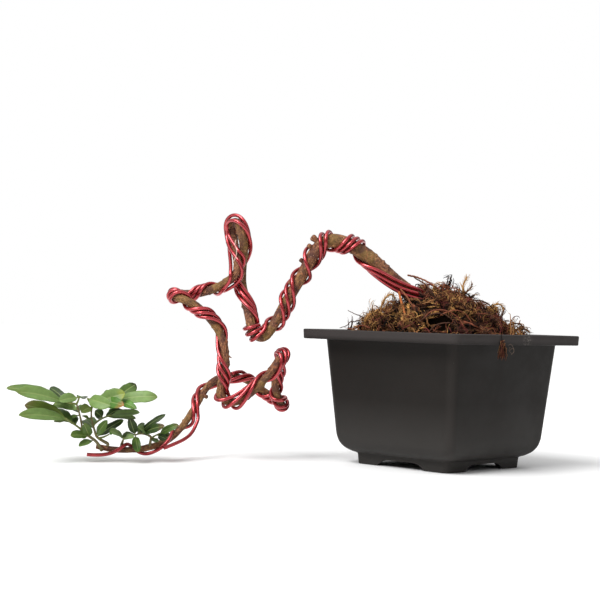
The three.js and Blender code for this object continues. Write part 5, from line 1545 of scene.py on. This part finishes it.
# Brightness of the surroundings from straight below (0) to straight above (1)
SKY = [(0.0, 0.3), (0.5, 0.12), (0.6, 0.22), (0.78, 0.75), (1.0, 1.0)]
SUN_FROM = (-0.8, -0.75, 1.25)
SUN_STRENGTH = 2.3
SUN_ANGLE = math.radians(38)
LIT_PLACE = Vector((-0.03, 0, 0.09))


def make_camera():
    data = bpy.data.cameras.new("camera")
    data.sensor_width = 36
    data.lens = 36 * CAMERA_FOCAL
    data.clip_start, data.clip_end = 0.05, 50
    camera = linked("camera", data)
    forward = Vector((0, math.cos(CAMERA_PITCH), math.sin(CAMERA_PITCH)))
    upright = Vector((0, -math.sin(CAMERA_PITCH), math.cos(CAMERA_PITCH)))
    level = Vector((1, 0, 0))
    right = level * math.cos(CAMERA_ROLL) + upright * math.sin(CAMERA_ROLL)
    up = upright * math.cos(CAMERA_ROLL) - level * math.sin(CAMERA_ROLL)
    turn = Matrix((right, up, -forward)).transposed().to_4x4()
    camera.matrix_world = Matrix.Translation(in_metres(*CAMERA_PLACE)) @ turn
    bpy.context.scene.camera = camera


def aim(light, heading):
    light.rotation_euler = heading.to_track_quat("-Z", "Y").to_euler()


def make_light(name, place, size, power):
    data = bpy.data.lights.new(name, "AREA")
    data.shape, data.size, data.energy = "DISK", size, power
    light = linked(name, data)
    light.location = place
    aim(light, LIT_PLACE - Vector(place))


def make_sun():
    data = bpy.data.lights.new("sun", "SUN")
    data.energy, data.angle = SUN_STRENGTH, SUN_ANGLE
    aim(linked("sun", data), -Vector(SUN_FROM))


def make_floor():
    mesh = bpy.data.meshes.new("floor")
    mesh.from_pydata([(-9, -9, 0), (9, -9, 0), (9, 9, 0), (-9, 9, 0)], [], [(0, 1, 2, 3)])
    mesh.materials.append(Surface("floor", (0.9, 0.9, 0.9), 0.8).material)
    floor = linked("floor", mesh)


def make_world():
    """A white backdrop for the camera, and soft light that is brighter from above."""
    world = bpy.data.worlds.new("studio")
    bpy.context.scene.world = world
    world.use_nodes = True
    tree = world.node_tree
    direction = add_node(tree, "TexCoord").outputs["Generated"]
    upward = add_node(tree, "SeparateXYZ", {0: direction}).outputs[2]
    height = add_node(tree, "MapRange", {"Value": upward, "From Min": -1.0}).outputs["Result"]
    light, backdrop = tree.nodes["Background"], add_node(tree, "Background", {"Color": (1, 1, 1, 1)})
    tree.links.new(add_ramp(tree, height, SKY), light.inputs["Color"])
    seen = add_node(tree, "LightPath").outputs["Is Camera Ray"]
    inputs = {"Fac": seen, 1: light.outputs["Background"], 2: backdrop.outputs["Background"]}
    mix = add_node(tree, "MixShader", inputs)
    tree.links.new(mix.outputs["Shader"], tree.nodes["World Output"].inputs["Surface"])
    bpy.context.scene.view_settings.view_transform = "Standard"


# Assembly

def dress(node, material):
    """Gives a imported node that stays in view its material."""
    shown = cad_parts[node]
    shown.data.materials.clear()
    shown.data.materials.append(material)


def put(slot, pieces, *nodes):
    """Fixes pieces to the part's one body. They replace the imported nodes."""
    for piece in pieces:
        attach(piece, "root")
        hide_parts(*nodes)


make_camera()
make_floor()
make_world()
make_sun()
make_light("key", (-0.75, -1.0, 1.25), 0.5, 9)
make_light("fill", (1.2, -0.9, 0.6), 0.6, 0.1)

red = wire_material()
leaf = leaf_material()
fibres = tinted_material("moss fibres", 0.85, (260, 0.7, 1.4), (1500, 2), Specular_IOR_Level=0.15)
stem = tinted_material("green stem", 0.55, (200, 0.75, 1.2), (700, 3))
core = rough_material("moss core", core_color_and_shade, 500, Specular_IOR_Level=0.0)
dry_bark = plain_material("dry bark strip", srgb(176, 148, 132), srgb(206, 184, 168), 0.8)

put("pot_plastic", [make_pot(pot_material())], "pot")
put("bark", [make_trunk(bark_material()), make_strip(dry_bark)], "trunk")
for (name, *_), line in zip(STRANDS, strand_lines()):
    put("red_wire", [make_wire(name + "_round", line, red)], name)
for name, stems in SHOOTS.items():
    put("leaf", make_shoot(name, stems, leaf, stem), name)
moss = [make_core(core), *make_moss(fibres), make_strays(fibres), make_hanging_tuft(fibres)]
put("moss_fibre", moss, "moss")
dress("soil", rough_material("growing mix", soil_color, 300))
dress("drain_mesh", plain_material("mesh plastic", srgb(24, 24, 24), srgb(40, 40, 40), 0.6))
